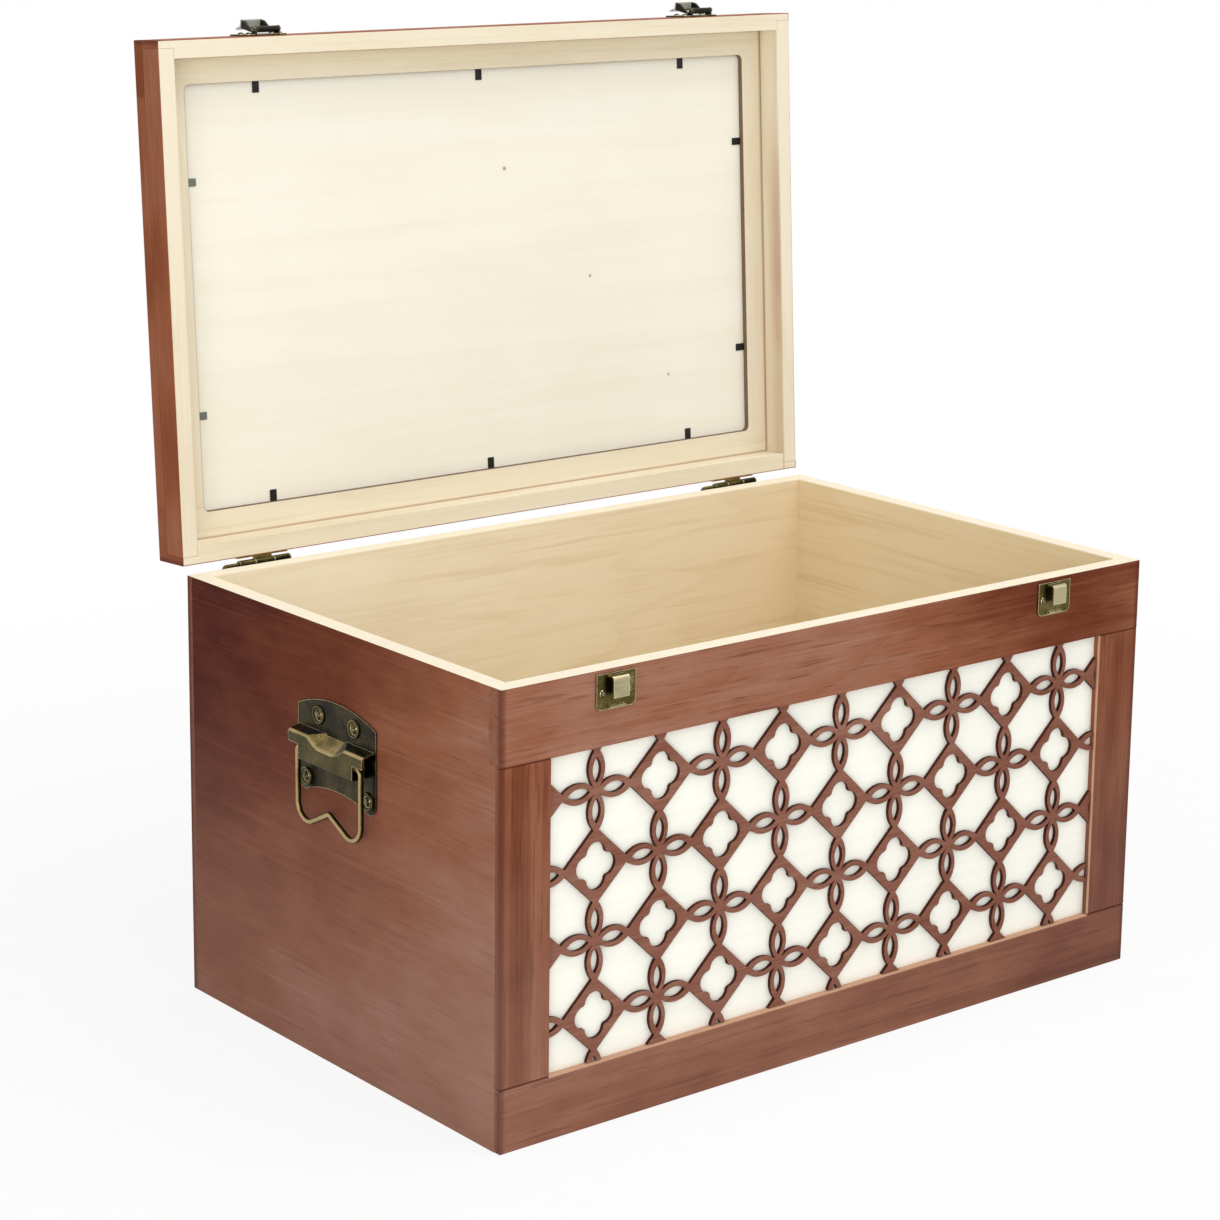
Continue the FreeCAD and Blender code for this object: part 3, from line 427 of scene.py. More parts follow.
class Studio(bpy.types.PropertyGroup):
    """Floor, camera and lamps."""

    floor_shade: colour("Floor shade", "Darker tooth of the floor's paper", 240, 240, 238)
    floor_paper: colour("Floor", "Paper of the floor", 248, 248, 246)
    azimuth: number("Azimuth", "Camera's turn round the trunk", math.radians(-39.0), subtype="ANGLE")
    elevation: number("Elevation", "Camera's height over the horizon", math.radians(12.25), subtype="ANGLE")
    roll: number("Roll", "Camera's tilt about its own axis", math.radians(0.67), subtype="ANGLE")
    distance: length("Distance", "Camera's distance from its target", 2.1423)
    target: bpy.props.FloatVectorProperty(
        name="Target", description="Point that the camera looks at", default=(-0.0556, 0.0, 0.3591),
        subtype="TRANSLATION", unit="LENGTH",
    )
    lens: number("Lens", "Focal length in millimetres", 93.69, unit="CAMERA")
    shift: number("Shift", "Camera's upward shift, as a share of the frame", -0.1)
    key_power: number("Key", "Power of the key lamp", 15.5, unit="POWER")
    side_power: number("Side", "Power of the low side lamp", 14, unit="POWER")
    fill_power: number("Fill", "Power of the fill lamp", 8, unit="POWER")
    top_power: number("Top", "Power of the overhead lamp", 33, unit="POWER")
    room_light: number("Room", "Light that the white room gives from all round", 0.42)


class Nodes:
    """The node tree of a material or a world, with short calls that add a node and hand back its output."""

    def __init__(self, owner):
        owner.use_nodes = True
        self.owner = owner
        self.tree = owner.node_tree
        self.tree.nodes.clear()

    def add(self, kind, inputs, **settings):
        """A node of that kind, its settings made, and each input linked or given its value."""
        node = self.tree.nodes.new(kind)
        for key, value in settings.items():
            setattr(node, key, value)
        for key, value in inputs.items():
            if isinstance(value, bpy.types.NodeSocket):
                self.tree.links.new(value, node.inputs[key])
            else:
                node.inputs[key].default_value = value
        return node

    def sums(self, operation, *numbers, clamp=False):
        """One operation on one, two or three numbers."""
        node = self.add("ShaderNodeMath", dict(enumerate(numbers)), operation=operation, use_clamp=clamp)
        return node.outputs[0]

    plus = partialmethod(sums, "ADD")
    minus = partialmethod(sums, "SUBTRACT")
    times = partialmethod(sums, "MULTIPLY")
    most = partialmethod(sums, "MAXIMUM")
    least = partialmethod(sums, "MINIMUM")
    over = partialmethod(sums, "GREATER_THAN")
    under = partialmethod(sums, "LESS_THAN")
    size = partialmethod(sums, "ABSOLUTE")
    fraction = partialmethod(sums, "FRACT")

    def gap(self, value, level):
        """How far a value is from a level, on either side."""
        return self.size(self.minus(value, level))

    def slant(self, first, second):
        """The long side over two sides at a right angle."""
        squares = [self.sums("POWER", side, 2.0) for side in (first, second)]
        return self.sums("SQRT", self.plus(*squares))

    def dot(self, first, second):
        """How far one vector goes along another."""
        inputs = {0: first, 1: second}
        return self.add("ShaderNodeVectorMath", inputs, operation="DOT_PRODUCT").outputs["Value"]

    def away(self, vector):
        """The distance of a place from the middle of its coordinates."""
        return self.add("ShaderNodeVectorMath", {0: vector}, operation="LENGTH").outputs["Value"]

    def fade(self, value, low, high):
        """A smooth step from 0 at low to 1 at high."""
        inputs = {"Value": value, "From Min": low, "From Max": high}
        return self.add("ShaderNodeMapRange", inputs, interpolation_type="SMOOTHSTEP").outputs[0]

    def spread(self, value, low, high):
        """The value, 0 to 1, spread evenly from low to high."""
        inputs = {"Value": value, "To Min": low, "To Max": high}
        return self.add("ShaderNodeMapRange", inputs).outputs[0]

    def seen(self):
        """1 on the rays that show a thing: to the camera, in metal and through glass."""
        rays = self.add("ShaderNodeLightPath", {}).outputs
        return self.most(self.most(rays["Is Camera Ray"], rays["Is Glossy Ray"]), rays["Is Transmission Ray"])


class Paint(Nodes):
    """A new material's nodes, with the piece's own coordinates as its place."""

    FIRST_COLOUR, SECOND_COLOUR, MIXED_COLOUR = 6, 7, 2

    def __init__(self, name):
        super().__init__(bpy.data.materials.new(name))
        self.place = self.add("ShaderNodeTexCoord", {}).outputs["Object"]

    def mapped(self, vector, location=(0, 0, 0), rotation=(0, 0, 0), scale=(1, 1, 1)):
        """The coordinates scaled, turned and moved."""
        inputs = {"Vector": vector, "Location": location, "Rotation": rotation, "Scale": scale}
        return self.add("ShaderNodeMapping", inputs).outputs[0]

    def noise(self, vector, cells, detail=4.0, roughness=0.55, distortion=0.0, turn=(0, 0, 0)):
        """Fractal noise about 0.5, scaled to so many cells in a metre along each axis and then turned."""
        inputs = {
            "Vector": self.mapped(vector, rotation=turn, scale=cells), "Scale": 1.0, "Detail": detail,
            "Roughness": roughness, "Distortion": distortion,
        }
        return self.add("ShaderNodeTexNoise", inputs).outputs[0]

    def weighted(self, *terms):
        """The sum of fields, each taken about 0.5 and times its weight, about 0.5."""
        total = 0.5
        for field, weight in terms:
            total = self.plus(self.sums("MULTIPLY_ADD", field, weight, -0.5 * weight), total)
        return total

    def parts(self, vector):
        """The three numbers of a vector."""
        return self.add("ShaderNodeSeparateXYZ", {0: vector}).outputs

    def ramp(self, value, *stops):
        """Colours set at places from 0 to 1, blended between them."""
        node = self.add("ShaderNodeValToRGB", {0: value})
        elements = node.color_ramp.elements
        for _ in stops[2:]:
            elements.new(0.5)
        for element, (place, shade) in zip(elements, stops):
            element.position = place
            element.color = (*shade, 1)
        return node.outputs[0]

    def blend(self, share, first, second):
        """Two shades mixed by a share. Each is a node's output or a colour."""
        first, second = (
            shade if isinstance(shade, bpy.types.NodeSocket) else (*shade, 1) for shade in (first, second)
        )
        inputs = {0: share, self.FIRST_COLOUR: first, self.SECOND_COLOUR: second}
        return self.add("ShaderNodeMix", inputs, data_type="RGBA").outputs[self.MIXED_COLOUR]

    def tint(self, shade, tinge, field, most):
        """A shade with a colour mixed in by a field, and by no more than a share."""
        return self.blend(self.times(field, most), shade, tinge)

    def bump(self, height, depth, strength=0.3):
        """A normal roughened by a height of that depth."""
        inputs = {"Height": height, "Distance": depth, "Strength": strength}
        return self.add("ShaderNodeBump", inputs).outputs[0]

    def finish(self, shade, gloss, normal, specular=0.5, metallic=0.0):
        """The material, with its surface shader on its output."""
        inputs = {
            "Base Color": shade, "Roughness": gloss, "Normal": normal, "Specular IOR Level": specular,
            "Metallic": metallic,
        }
        shader = self.add("ShaderNodeBsdfPrincipled", inputs)
        self.add("ShaderNodeOutputMaterial", {"Surface": shader.outputs[0]})
        return self.owner


class Grain(NamedTuple):
    """A board's place on the closed trunk, the same with its fibres along X, and the fields of its grain."""

    place: object
    along: object
    bands: object
    late: object
    fibres: object
    pores: object
    blotches: object


def closed_lid(paint):
    """Coordinates of a lid piece turned back to where it lies when the lid is closed.

    The lid stands open by the hinge's range. A point p goes to pivot + R (p - pivot), R about X by that.
    """
    turned = LID_PIVOT - Matrix.Rotation(LID_TURN, 3, "X") @ LID_PIVOT
    return paint.mapped(paint.place, location=tuple(turned), rotation=(LID_TURN, 0, 0))


def grain_fields(paint, on_lid, cut, turn=ALONG_X):
    """Growth bands, late wood, fibres, pores and blotches of a board, and its coordinates.

    Each is fractal noise on coordinates that are stretched along the grain, broad for the growth bands,
    fine for the fibres and short for the pores. Late wood is the end of each ring, and the rings are contour
    lines of one slow field, rising slowly and ending sharply, which draws long flames on a flat-sawn face.
    """
    place = closed_lid(paint) if on_lid else paint.place
    along = paint.mapped(place, location=cut, rotation=turn)
    rings = paint.noise(along, SLOW_RINGS, detail=2, roughness=0.4)
    rings = paint.fraction(paint.times(rings, RING_COUNT))
    return Grain(
        place=place,
        along=along,
        bands=paint.noise(along, BANDS, detail=3, roughness=0.5, distortion=0.4),
        late=paint.fade(rings, *LATE_WOOD),
        fibres=paint.noise(along, FIBRES, detail=5, roughness=0.62, distortion=0.2),
        pores=paint.noise(along, PORES, detail=2, roughness=0.5),
        blotches=paint.noise(along, BLOTCHES, detail=4, roughness=0.6),
    )


def pooled(paint, place, dark_patches):
    """How much darker the darkest patch is: its strength, faded to nothing at its reach.

    Some patches are pooled stain and some are painted shade. The distance from a patch's middle is measured
    in shares of its reach along each axis.
    """
    darkest = 0.0
    for patch in dark_patches:
        shift = tuple(-at / reach for at, reach in zip(patch.middle, patch.reach))
        near = paint.mapped(place, location=shift, scale=tuple(1 / reach for reach in patch.reach))
        darkness = paint.times(paint.fade(paint.away(near), *PATCH_FADE), patch.strength)
        darkest = paint.most(darkness, darkest)
    return darkest


def end_faces(paint, place):
    """1 on the outer faces at the two ends."""
    return paint.over(paint.size(paint.parts(place)[0]), HALF_LENGTH - STAIN_DEPTH)


def outer_skin(paint, place, on_lid):
    """1 where the stain lies: the outer faces and the edges round a framed insert."""
    _, y, z = paint.parts(place)
    sides = paint.over(paint.size(y), HALF_WIDTH - STAIN_DEPTH)
    skin = paint.most(end_faces(paint, place), sides)
    if on_lid:
        return paint.most(skin, paint.over(z, LID_TOP - INSERT_LIP))
    front = paint.under(y, INSERT_LIP - HALF_WIDTH)
    below = paint.under(z, BODY_HEIGHT - BARE_RIM)
    return paint.times(paint.most(skin, front), below)


def lid_seams_and_shade(paint, place):
    """1 on the joints round the lid's ledge, and 1 on the wall of the rabbet that holds the backing board,
    where shade is painted.

    The rabbet's wall is where the distance to a rectangle with rounded corners is nothing.
    """
    x, y, z = (paint.size(part) for part in paint.parts(place))
    joint = paint.most(paint.minus(x, HALF_LENGTH - WALL), paint.minus(y, HALF_WIDTH - WALL))
    joint = paint.fade(paint.size(joint), *SEAM_ACROSS)
    seam = paint.times(joint, paint.fade(paint.gap(z, LEDGE), *SEAM_UP))
    corner_x = paint.most(paint.minus(x, RABBET_X - RABBET_ROUND), 0.0)
    corner_y = paint.most(paint.minus(y, RABBET_Y - RABBET_ROUND), 0.0)
    wall = paint.fade(paint.gap(paint.slant(corner_x, corner_y), RABBET_ROUND), *RABBET_SHADE_LINE)
    return seam, wall


def frame_lines(paint, place):
    """1 along the joints of the front frame, where shade is painted, and 1 on the rubbed foot and right edge
    of its opening.
    """
    x, y, z = paint.parts(place)
    front = paint.fade(y, *JOINT_FACE)
    from_foot = paint.gap(z, OPENING_FOOT)
    from_rail = paint.least(paint.gap(z, OPENING_TOP), from_foot)
    within = paint.fade(paint.size(x), OPENING_SIDE + LINE_END, OPENING_SIDE - LINE_END)
    beyond = paint.minus(front, within, clamp=True)
    # A line of painted shade along the joints where the rails meet the stiles
    joint = paint.times(paint.fade(from_rail, *JOINT_SHADE_LINE), beyond)
    lip = paint.times(within, paint.fade(y, *RUBBED_LIP))
    foot = paint.times(paint.fade(from_foot, *RUBBED_FOOT), lip)
    side = paint.times(paint.fade(paint.gap(x, OPENING_SIDE), *RUBBED_SIDE), front)
    side = paint.times(side, paint.fade(z, OPENING_TOP, OPENING_TOP - LINE_END))
    side = paint.times(side, paint.fade(z, OPENING_FOOT, OPENING_FOOT + LINE_END))
    return joint, paint.most(foot, side)


def arrises(paint, place):
    """1 on the upright edges of the trunk, where two outer faces meet."""
    x, y, _ = (paint.size(part) for part in paint.parts(place))
    inward = paint.most(paint.minus(HALF_LENGTH, x), paint.minus(HALF_WIDTH, y))
    return paint.fade(inward, *ARRIS)


def stain_run(paint, place):
    """1 where stain has run over the lid's rim onto the inside of its right rail."""
    x, y, z = paint.parts(place)
    wall = paint.fade(paint.gap(x, HALF_LENGTH - WALL), *RUN_DEPTH)
    strip = paint.times(wall, paint.fade(z, *RUN_HEIGHT))
    return paint.times(strip, paint.fade(y, *RUN_LENGTH))


def bare_lid(paint, wood, grain, bare):
    """The bare wood of the lid: greyer, with stain run over the rim, brown seams, and painted shade on the
    rabbet's wall.
    """
    bare = paint.blend(0.4, bare, wood.bare_grey)
    run = paint.times(stain_run(paint, grain.place), paint.spread(grain.blotches, *PATCHY_RUN))
    bare = paint.blend(run, bare, wood.bleed)
    seam, wall = lid_seams_and_shade(paint, grain.place)
    bare = paint.blend(paint.times(seam, paint.spread(grain.blotches, *PATCHY_LINE)), bare, wood.seam)
    # Painted shade on the rabbet's wall round the backing board
    return paint.tint(bare, wood.rabbet, wall, most=0.85)


def bare_body(paint, wood, grain, bare):
    """The bare wood of the body: painted shade makes it darker and warmer towards the right, and painted
    light makes it paler towards the left and on the top edges.
    """
    side, _, height = paint.parts(grain.place)
    # Painted shade: darker and warmer towards the right. Painted light: paler towards the left and on the top
    # edges.
    bare = paint.tint(bare, wood.shade_amber, paint.fade(side, *SHADE_AMBER_SIDE), most=0.22)
    bare = paint.tint(bare, wood.painted_light_bare, paint.fade(side, *LIGHT_PALE_SIDE), most=0.5)
    return paint.tint(bare, wood.painted_light_bare, paint.over(height, BODY_HEIGHT - BARE_TOP), most=0.8)


def bare_wood(paint, wood, board, grain):
    """Bare wood: pale bands, fibres and blotches, with darker late wood and streaks."""
    bare = paint.ramp(
        paint.weighted((grain.bands, 0.25), (grain.fibres, 0.4), (grain.blotches, 0.55)),
        (0.1, wood.bare_dark), (0.5, wood.bare_middle), (0.85, wood.bare_light),
    )
    bare = paint.tint(bare, wood.bare_dark, grain.late, most=0.16)
    streaks = paint.noise(grain.along, PALE_STREAKS, detail=3, roughness=0.6)
    bare = paint.tint(bare, wood.bare_dark, paint.fade(streaks, *PALE_STREAK), most=0.45)
    if board.on_lid:
        return bare_lid(paint, wood, grain, bare)
    return bare_body(paint, wood, grain, bare)


def stain_tone(paint, board, grain):
    """How light the stain is: grain, clouds and pale hairs, less late wood, the board's depth and dark
    patches, some of which are painted shade.
    """
    clouds = paint.noise(grain.along, STAIN_CLOUDS, detail=3, roughness=0.6)
    hairs = paint.noise(grain.along, HAIRS, detail=1, roughness=0.4)
    hair = paint.fade(paint.gap(hairs, HAIR_LEVEL), *HAIR_LINE)
    fine = 0.12 + 0.6 * board.figure
    tone = paint.weighted(
        (grain.bands, board.figure), (grain.fibres, fine), (grain.blotches, 0.4), (clouds, 0.4)
    )
    tone = paint.minus(tone, board.depth)
    tone = paint.minus(tone, paint.times(grain.late, 0.14 * board.figure))
    tone = paint.plus(tone, paint.times(hair, 0.07))
    if board.dark_patches:
        # Dark patches: pooled stain on some boards, painted shade on the end panels and the right of the
        # front
        tone = paint.minus(tone, pooled(paint, grain.place, board.dark_patches))
    return tone


def stained_wood(paint, wood, board, grain):
    """Stained wood: the tone's colours, dark streaks, pores, ends and arrises, and what each place adds: a
    painted reflection of the floor low down, painted shade along the front frame's joints, and rubbed edges
    round its opening.
    """
    stain = paint.ramp(
        stain_tone(paint, board, grain), (0.02, wood.dark_stain_and_shade), (0.28, wood.deep_stain_and_shade),
        (0.58, wood.stain_middle), (0.92, wood.stain_light),
    )
    streaks = paint.noise(grain.along, DARK_STREAKS, detail=3, roughness=0.6)
    streaks = paint.fade(streaks, *DARK_STREAK)
    stain = paint.tint(stain, wood.dark_stain_and_shade, streaks, most=0.16 + 0.6 * board.figure)
    stain = paint.tint(stain, wood.dark_stain_and_shade, paint.fade(grain.pores, *OPEN_PORES), most=0.2)
    if board.end_grain:
        stain = paint.tint(stain, wood.dark_stain_and_shade, end_faces(paint, grain.place), most=board.end_grain)
    if board.on_lid:
        stain = paint.blend(0.28, stain, wood.stain_lid)
    retinted = paint.times(arrises(paint, grain.place), paint.spread(grain.blotches, *PATCHY_LINE))
    stain = paint.blend(retinted, stain, wood.dark_stain_and_shade)
    if board.on_lid:
        return stain
    height = paint.parts(grain.place)[2]
    joint, rubbed = frame_lines(paint, grain.place)
    # Painted reflection of the white floor: greyer and paler towards the floor
    stain = paint.tint(stain, wood.floor_reflection, paint.fade(height, *FLOOR_REFLECTION_HEIGHT), most=0.18)
    # Painted shade along the frame's joints
    stain = paint.tint(stain, wood.dark_stain_and_shade, joint, most=0.7)
    return paint.tint(stain, wood.rubbed, rubbed, most=0.85)


def board_material(board, wood):
    """Stained outside and bare inside, with growth bands, rings, fibres, pores, uneven stain, and painted
    light and shade.
    """
    paint = Paint(board.name)
    grain = grain_fields(paint, board.on_lid, board.cut, board.grain)
    shade = bare_wood(paint, wood, board, grain)
    gloss = paint.spread(grain.fibres, *BARE_GLOSS)
    if board.stained:
        skin = outer_skin(paint, grain.place, board.on_lid)
        shade = paint.blend(skin, shade, stained_wood(paint, wood, board, grain))
        gloss = paint.blend(skin, gloss, paint.spread(grain.fibres, *STAIN_GLOSS))
    height = paint.weighted((grain.fibres, 0.7), (grain.pores, 0.5))
    return paint.finish(shade, gloss, paint.bump(height, GRAIN_DEPTH), specular=0.05)


def ply_material(name, wood):
    """The lid's pale sanded ply, with faint long fibres and a few pin knots."""
    paint = Paint(name)
    grain = grain_fields(paint, on_lid=True, cut=PLY_CUT)
    tone = paint.weighted((grain.bands, 0.6), (grain.fibres, 0.5), (grain.blotches, 0.6))
    shade = paint.ramp(tone, (0.25, wood.ply_middle), (0.7, wood.ply_light))
    x, y, _ = paint.parts(grain.place)
    knots = 0.0
    for knot_x, knot_y, radius in KNOTS:
        away = paint.slant(paint.minus(x, knot_x), paint.minus(y, knot_y))
        knots = paint.most(paint.fade(away, radius, radius * KNOT_CORE_SHARE), knots)
    shade = paint.tint(shade, wood.knot, knots, most=0.8)
    height = paint.weighted((grain.fibres, 0.7), (grain.pores, 0.4))
    gloss = paint.spread(grain.fibres, *BARE_GLOSS)
    return paint.finish(shade, gloss, paint.bump(height, GRAIN_DEPTH), specular=0.2)


def lattice_material(name, wood, insert, on_lid):
    """Stained face with fine grain, painted shade towards the right, and dark edges where the sheet is cut
    through.
    """
    paint = Paint(name)
    grain = grain_fields(paint, on_lid, LATTICE_CUT)
    tone = paint.weighted((grain.bands, 0.6), (grain.fibres, 0.9), (grain.blotches, 0.6))
    face = paint.ramp(tone, (0.1, wood.deep_stain_and_shade), (0.5, insert.face), (0.9, wood.stain_light))
    x, y, z = paint.parts(grain.place)
    # Painted shade: darker towards the right of the lattice
    face = paint.tint(face, wood.deep_stain_and_shade, paint.fade(x, *LATTICE_SHADE_SIDE), most=0.35)
    if on_lid:
        on_face = paint.over(z, LATTICE_TOP - LATTICE_FACE)
    else:
        on_face = paint.under(y, LATTICE_FRONT + LATTICE_FACE)
    edge = paint.ramp(grain.fibres, (0.3, insert.cut_edge), (0.75, wood.dark_stain_and_shade))
    shade = paint.blend(on_face, edge, face)
    gloss = paint.spread(grain.fibres, *LATTICE_GLOSS)
    return paint.finish(shade, gloss, paint.bump(grain.fibres, GRAIN_DEPTH), specular=0.12)


def white_material(name, insert):
    """Brushed white paint with a faint tooth."""
    paint = Paint(name)
    strokes = paint.noise(paint.place, BRUSH_STROKES, detail=4, roughness=0.6)
    clouds = paint.noise(paint.place, PAINT_CLOUDS, detail=2)
    tone = paint.weighted((strokes, 0.5), (clouds, 0.5))
    low = tuple(PAINT_LOW_SHARE * share for share in insert.white)
    shade = paint.ramp(tone, (0.3, low), (0.6, insert.white))
    gloss = paint.spread(strokes, *PAINT_GLOSS)
    return paint.finish(shade, gloss, paint.bump(strokes, BRUSH_DEPTH), specular=0.2)


def edge_rub_and_glint(paint, radius):
    """0 on flats and rising to 1 on edges: how far the surface turns within a small radius.

    It marks the bright edges of the brass, rubbed brass with a painted highlight.
    """
    rounded = paint.add("ShaderNodeBevel", {"Radius": radius}, samples=6).outputs[0]
    flat = paint.add("ShaderNodeNewGeometry", {}).outputs["Normal"]
    return paint.fade(paint.dot(rounded, flat), *EDGE_TURN)


class BrightBand(NamedTuple):
    """Brass made brighter out to its reach along a direction: where that starts and is full, short of it.

    On the plate, the catch and the cups it is rubbed brass. On the wire and the hinge barrels it is a painted
    highlight, and on the nose of a latch a painted reflection.
    """

    direction: Vector
    reach: float
    start: float
    full: float
    gain: float


def brass_material(
    name, metal, cut, tone=0.0, band=None, crest_highlight=0.0, rub_and_glint=0.0009, top=None, metallic=1.0, specular=0.5
):
    """Antique brass: dark patina in the hollows, and brighter brass on what stands out and on the edges,
    rubbed brass in places and painted highlight and painted reflection in others.

    Tone is how much brighter the whole piece is, and the band is a brighter stretch along a direction. Crest
    is how much painted highlight it gets where the surface turns from facing out to facing up, rub is the
    radius of the bright edges, rubbed brass with a painted highlight, and top is the brightest colour.
    """
    paint = Paint(name)
    place = paint.mapped(paint.place, location=cut)
    clouds = paint.noise(place, PATINA_CLOUDS, detail=4, roughness=0.6)
    specks = paint.noise(place, PATINA_SPECKS, detail=3, roughness=0.6)
    scratches = paint.noise(place, SCRATCHES, detail=2, turn=SCRATCH_TURN)
    level = paint.weighted((clouds, 0.5), (specks, 0.3), (scratches, 0.3))
    level = paint.plus(level, tone)
    # Brighter band: rubbed brass on some pieces, painted highlight and painted reflection on others
    if band:
        along = paint.size(paint.dot(paint.place, band.direction))
        retinted = paint.fade(along, band.reach - band.start, band.reach - band.full)
        level = paint.plus(level, paint.times(retinted, band.gain))
    # A painted highlight where the surface turns from facing out to facing up
    if crest_highlight:
        out, _, up = paint.parts(paint.add("ShaderNodeNewGeometry", {}).outputs["Normal"])
        facing = paint.times(paint.times(paint.size(out), up), 2.0)
        level = paint.plus(level, paint.times(paint.fade(facing, *CREST_HIGHLIGHT_FACING), crest_highlight))
    top = metal.gold if top is None else top
    shade = paint.ramp(level, (0.45, metal.patina), (0.8, metal.brass), (1.0, top))
    # Bright edges: rubbed brass with a painted highlight
    edge = paint.times(edge_rub_and_glint(paint, rub_and_glint), paint.fade(specks, *EDGE_SPECKS))
    shade = paint.tint(shade, metal.bright, edge, most=0.9)
    height = paint.weighted((clouds, 0.4), (specks, 0.5))
    gloss = paint.spread(specks, *BRASS_GLOSS)
    return paint.finish(shade, gloss, paint.bump(height, PATINA_DEPTH, strength=0.2), specular, metallic)


def steel_material(name, metal):
    """Blackened spring steel with faint scuffs, scuffed bare on the points at the left."""
    paint = Paint(name)
    scuffs = paint.noise(paint.place, STEEL_SCUFFS, detail=4, roughness=0.6)
    low = tuple(STEEL_LOW_SHARE * share for share in metal.steel)
    shade = paint.ramp(scuffs, (0.35, low), (0.7, metal.steel))
    left = paint.under(paint.parts(paint.place)[0], SCUFFED_POINTS)
    shade = paint.blend(paint.times(left, paint.spread(scuffs, *PATCHY_STEEL)), shade, metal.bare_steel)
    gloss = paint.spread(scuffs, *STEEL_GLOSS)
    return paint.finish(shade, gloss, paint.bump(scuffs, SCUFF_DEPTH), metallic=0.7)


def dress(name, material, edge=0.0, segments=2):
    """The node's solid with that material, its loose triangles welded and its edges eased."""
    node = frame["nodes"][name]
    node.data.materials.clear()
    node.data.materials.append(material)
    if edge:
        weld = node.modifiers.new("weld", "WELD")
        weld.merge_threshold = WELD_GAP
        ease = node.modifiers.new("ease", "BEVEL")
        ease.width = edge
        ease.segments = segments
        ease.limit_method = "ANGLE"
        ease.angle_limit = SHARP_TURN
        ease.use_clamp_overlap = True
        level = node.modifiers.new("level", "WEIGHTED_NORMAL")
        level.weight = FACE_WEIGHT
        level.keep_sharp = False


def placed(name, data):
    """A new object of the scene that holds a mesh, a lamp or a camera."""
    holder = bpy.data.objects.new(name, data)
    bpy.context.scene.collection.objects.link(holder)
    return holder


def turned_rings(name, profile, seats, outward):
    """Rings round an axis along X through each seat: a closed profile of radius and height, carried round it.

    At a turn t the point is seat + height * outward + radius * (cos t along Y + sin t along Z).
    """
    turns = np.linspace(0, 2 * np.pi, CUP_STEPS, endpoint=False)
    radius, height = np.array(profile[::outward]).T
    along = np.stack([np.zeros_like(turns), np.cos(turns), np.sin(turns)], axis=-1)
    ring = radius[None, :, None] * along[:, None, :]
    ring[:, :, 0] += outward * height
    points = (np.array(seats)[:, None, None, :] + ring).reshape(-1, 3)
    step, count = len(radius), len(turns)
    turn, place = np.meshgrid(np.arange(count), np.arange(step), indexing="ij")
    here, ahead, beside = turn * step, (turn + 1) % count * step, (place + 1) % step
    quads = np.stack([here + place, ahead + place, ahead + beside, here + beside], axis=-1)
    starts = np.arange(len(seats)) * step * count
    faces = (starts[:, None, None] + quads.reshape(1, -1, 4)).reshape(-1, 4)
    mesh = bpy.data.meshes.new(name)
    mesh.from_pydata(points.tolist(), [], faces.tolist())
    mesh.polygons.foreach_set("use_smooth", np.ones(len(faces), dtype=bool))
    mesh.update()
    return placed(name, mesh)


def screw_cups(side, metal, material):
    """The dished cups that the four screws of a handle are set in."""
    low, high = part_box(f"{side}_handle_screws")
    outward = -1 if side == "left" else 1
    face = outward * (HALF_LENGTH + SHEET)
    middle = (low[1] + high[1]) / 2
    lower = (high[1] - low[1]) / 2 - SCREW_HEAD
    seats = []
    for reach, height in ((lower, low[2] + SCREW_HEAD), (metal.upper_screws / 2, high[2] - SCREW_HEAD)):
        seats += [(face, middle - reach, height), (face, middle + reach, height)]
    dish = metal.cup_radius - SCREW_HEAD
    profile = [(metal.cup_radius - inward * dish, up * metal.cup_rise) for inward, up in CUP_SHARES]
    cups = turned_rings(f"{side}_screw_cups", profile, seats, outward)
    cups.data.materials.append(material)
    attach(cups, "trunk")


class TRUNK_OT_body_boards(bpy.types.Operator):
    """Dress the body's boards: stained outside, bare inside"""

    bl_idname = "trunk.body_boards"
    bl_label = "Body boards"

    def execute(self, context):
        wood = context.scene.trunk_wood
        for board in BODY_BOARDS:
            dress(board.name, board_material(board, wood), wood.eased_edge)
        return {"FINISHED"}


class TRUNK_OT_lid_boards(bpy.types.Operator):
    """Dress the lid's rails, top members and backing board"""

    bl_idname = "trunk.lid_boards"
    bl_label = "Lid boards"

    def execute(self, context):
        wood = context.scene.trunk_wood
        for board in LID_BOARDS:
            dress(board.name, board_material(board, wood), wood.eased_edge)
        dress("lid_backing_board", ply_material("lid_backing_board", wood), wood.eased_edge)
        return {"FINISHED"}


class TRUNK_OT_inserts(bpy.types.Operator):
    """Dress the lattices and the white panels behind them"""

    bl_idname = "trunk.inserts"
    bl_label = "Inserts"

    def execute(self, context):
        wood = context.scene.trunk_wood
        insert = context.scene.trunk_insert
        for name, on_lid in (("front_lattice", False), ("lid_lattice", True)):
            dress(name, lattice_material(name, wood, insert, on_lid), insert.eased_edge, segments=1)
        white = white_material("white_panel", insert)
        for name in ("front_white_panel", "lid_white_panel"):
            dress(name, white, insert.eased_edge)
        return {"FINISHED"}


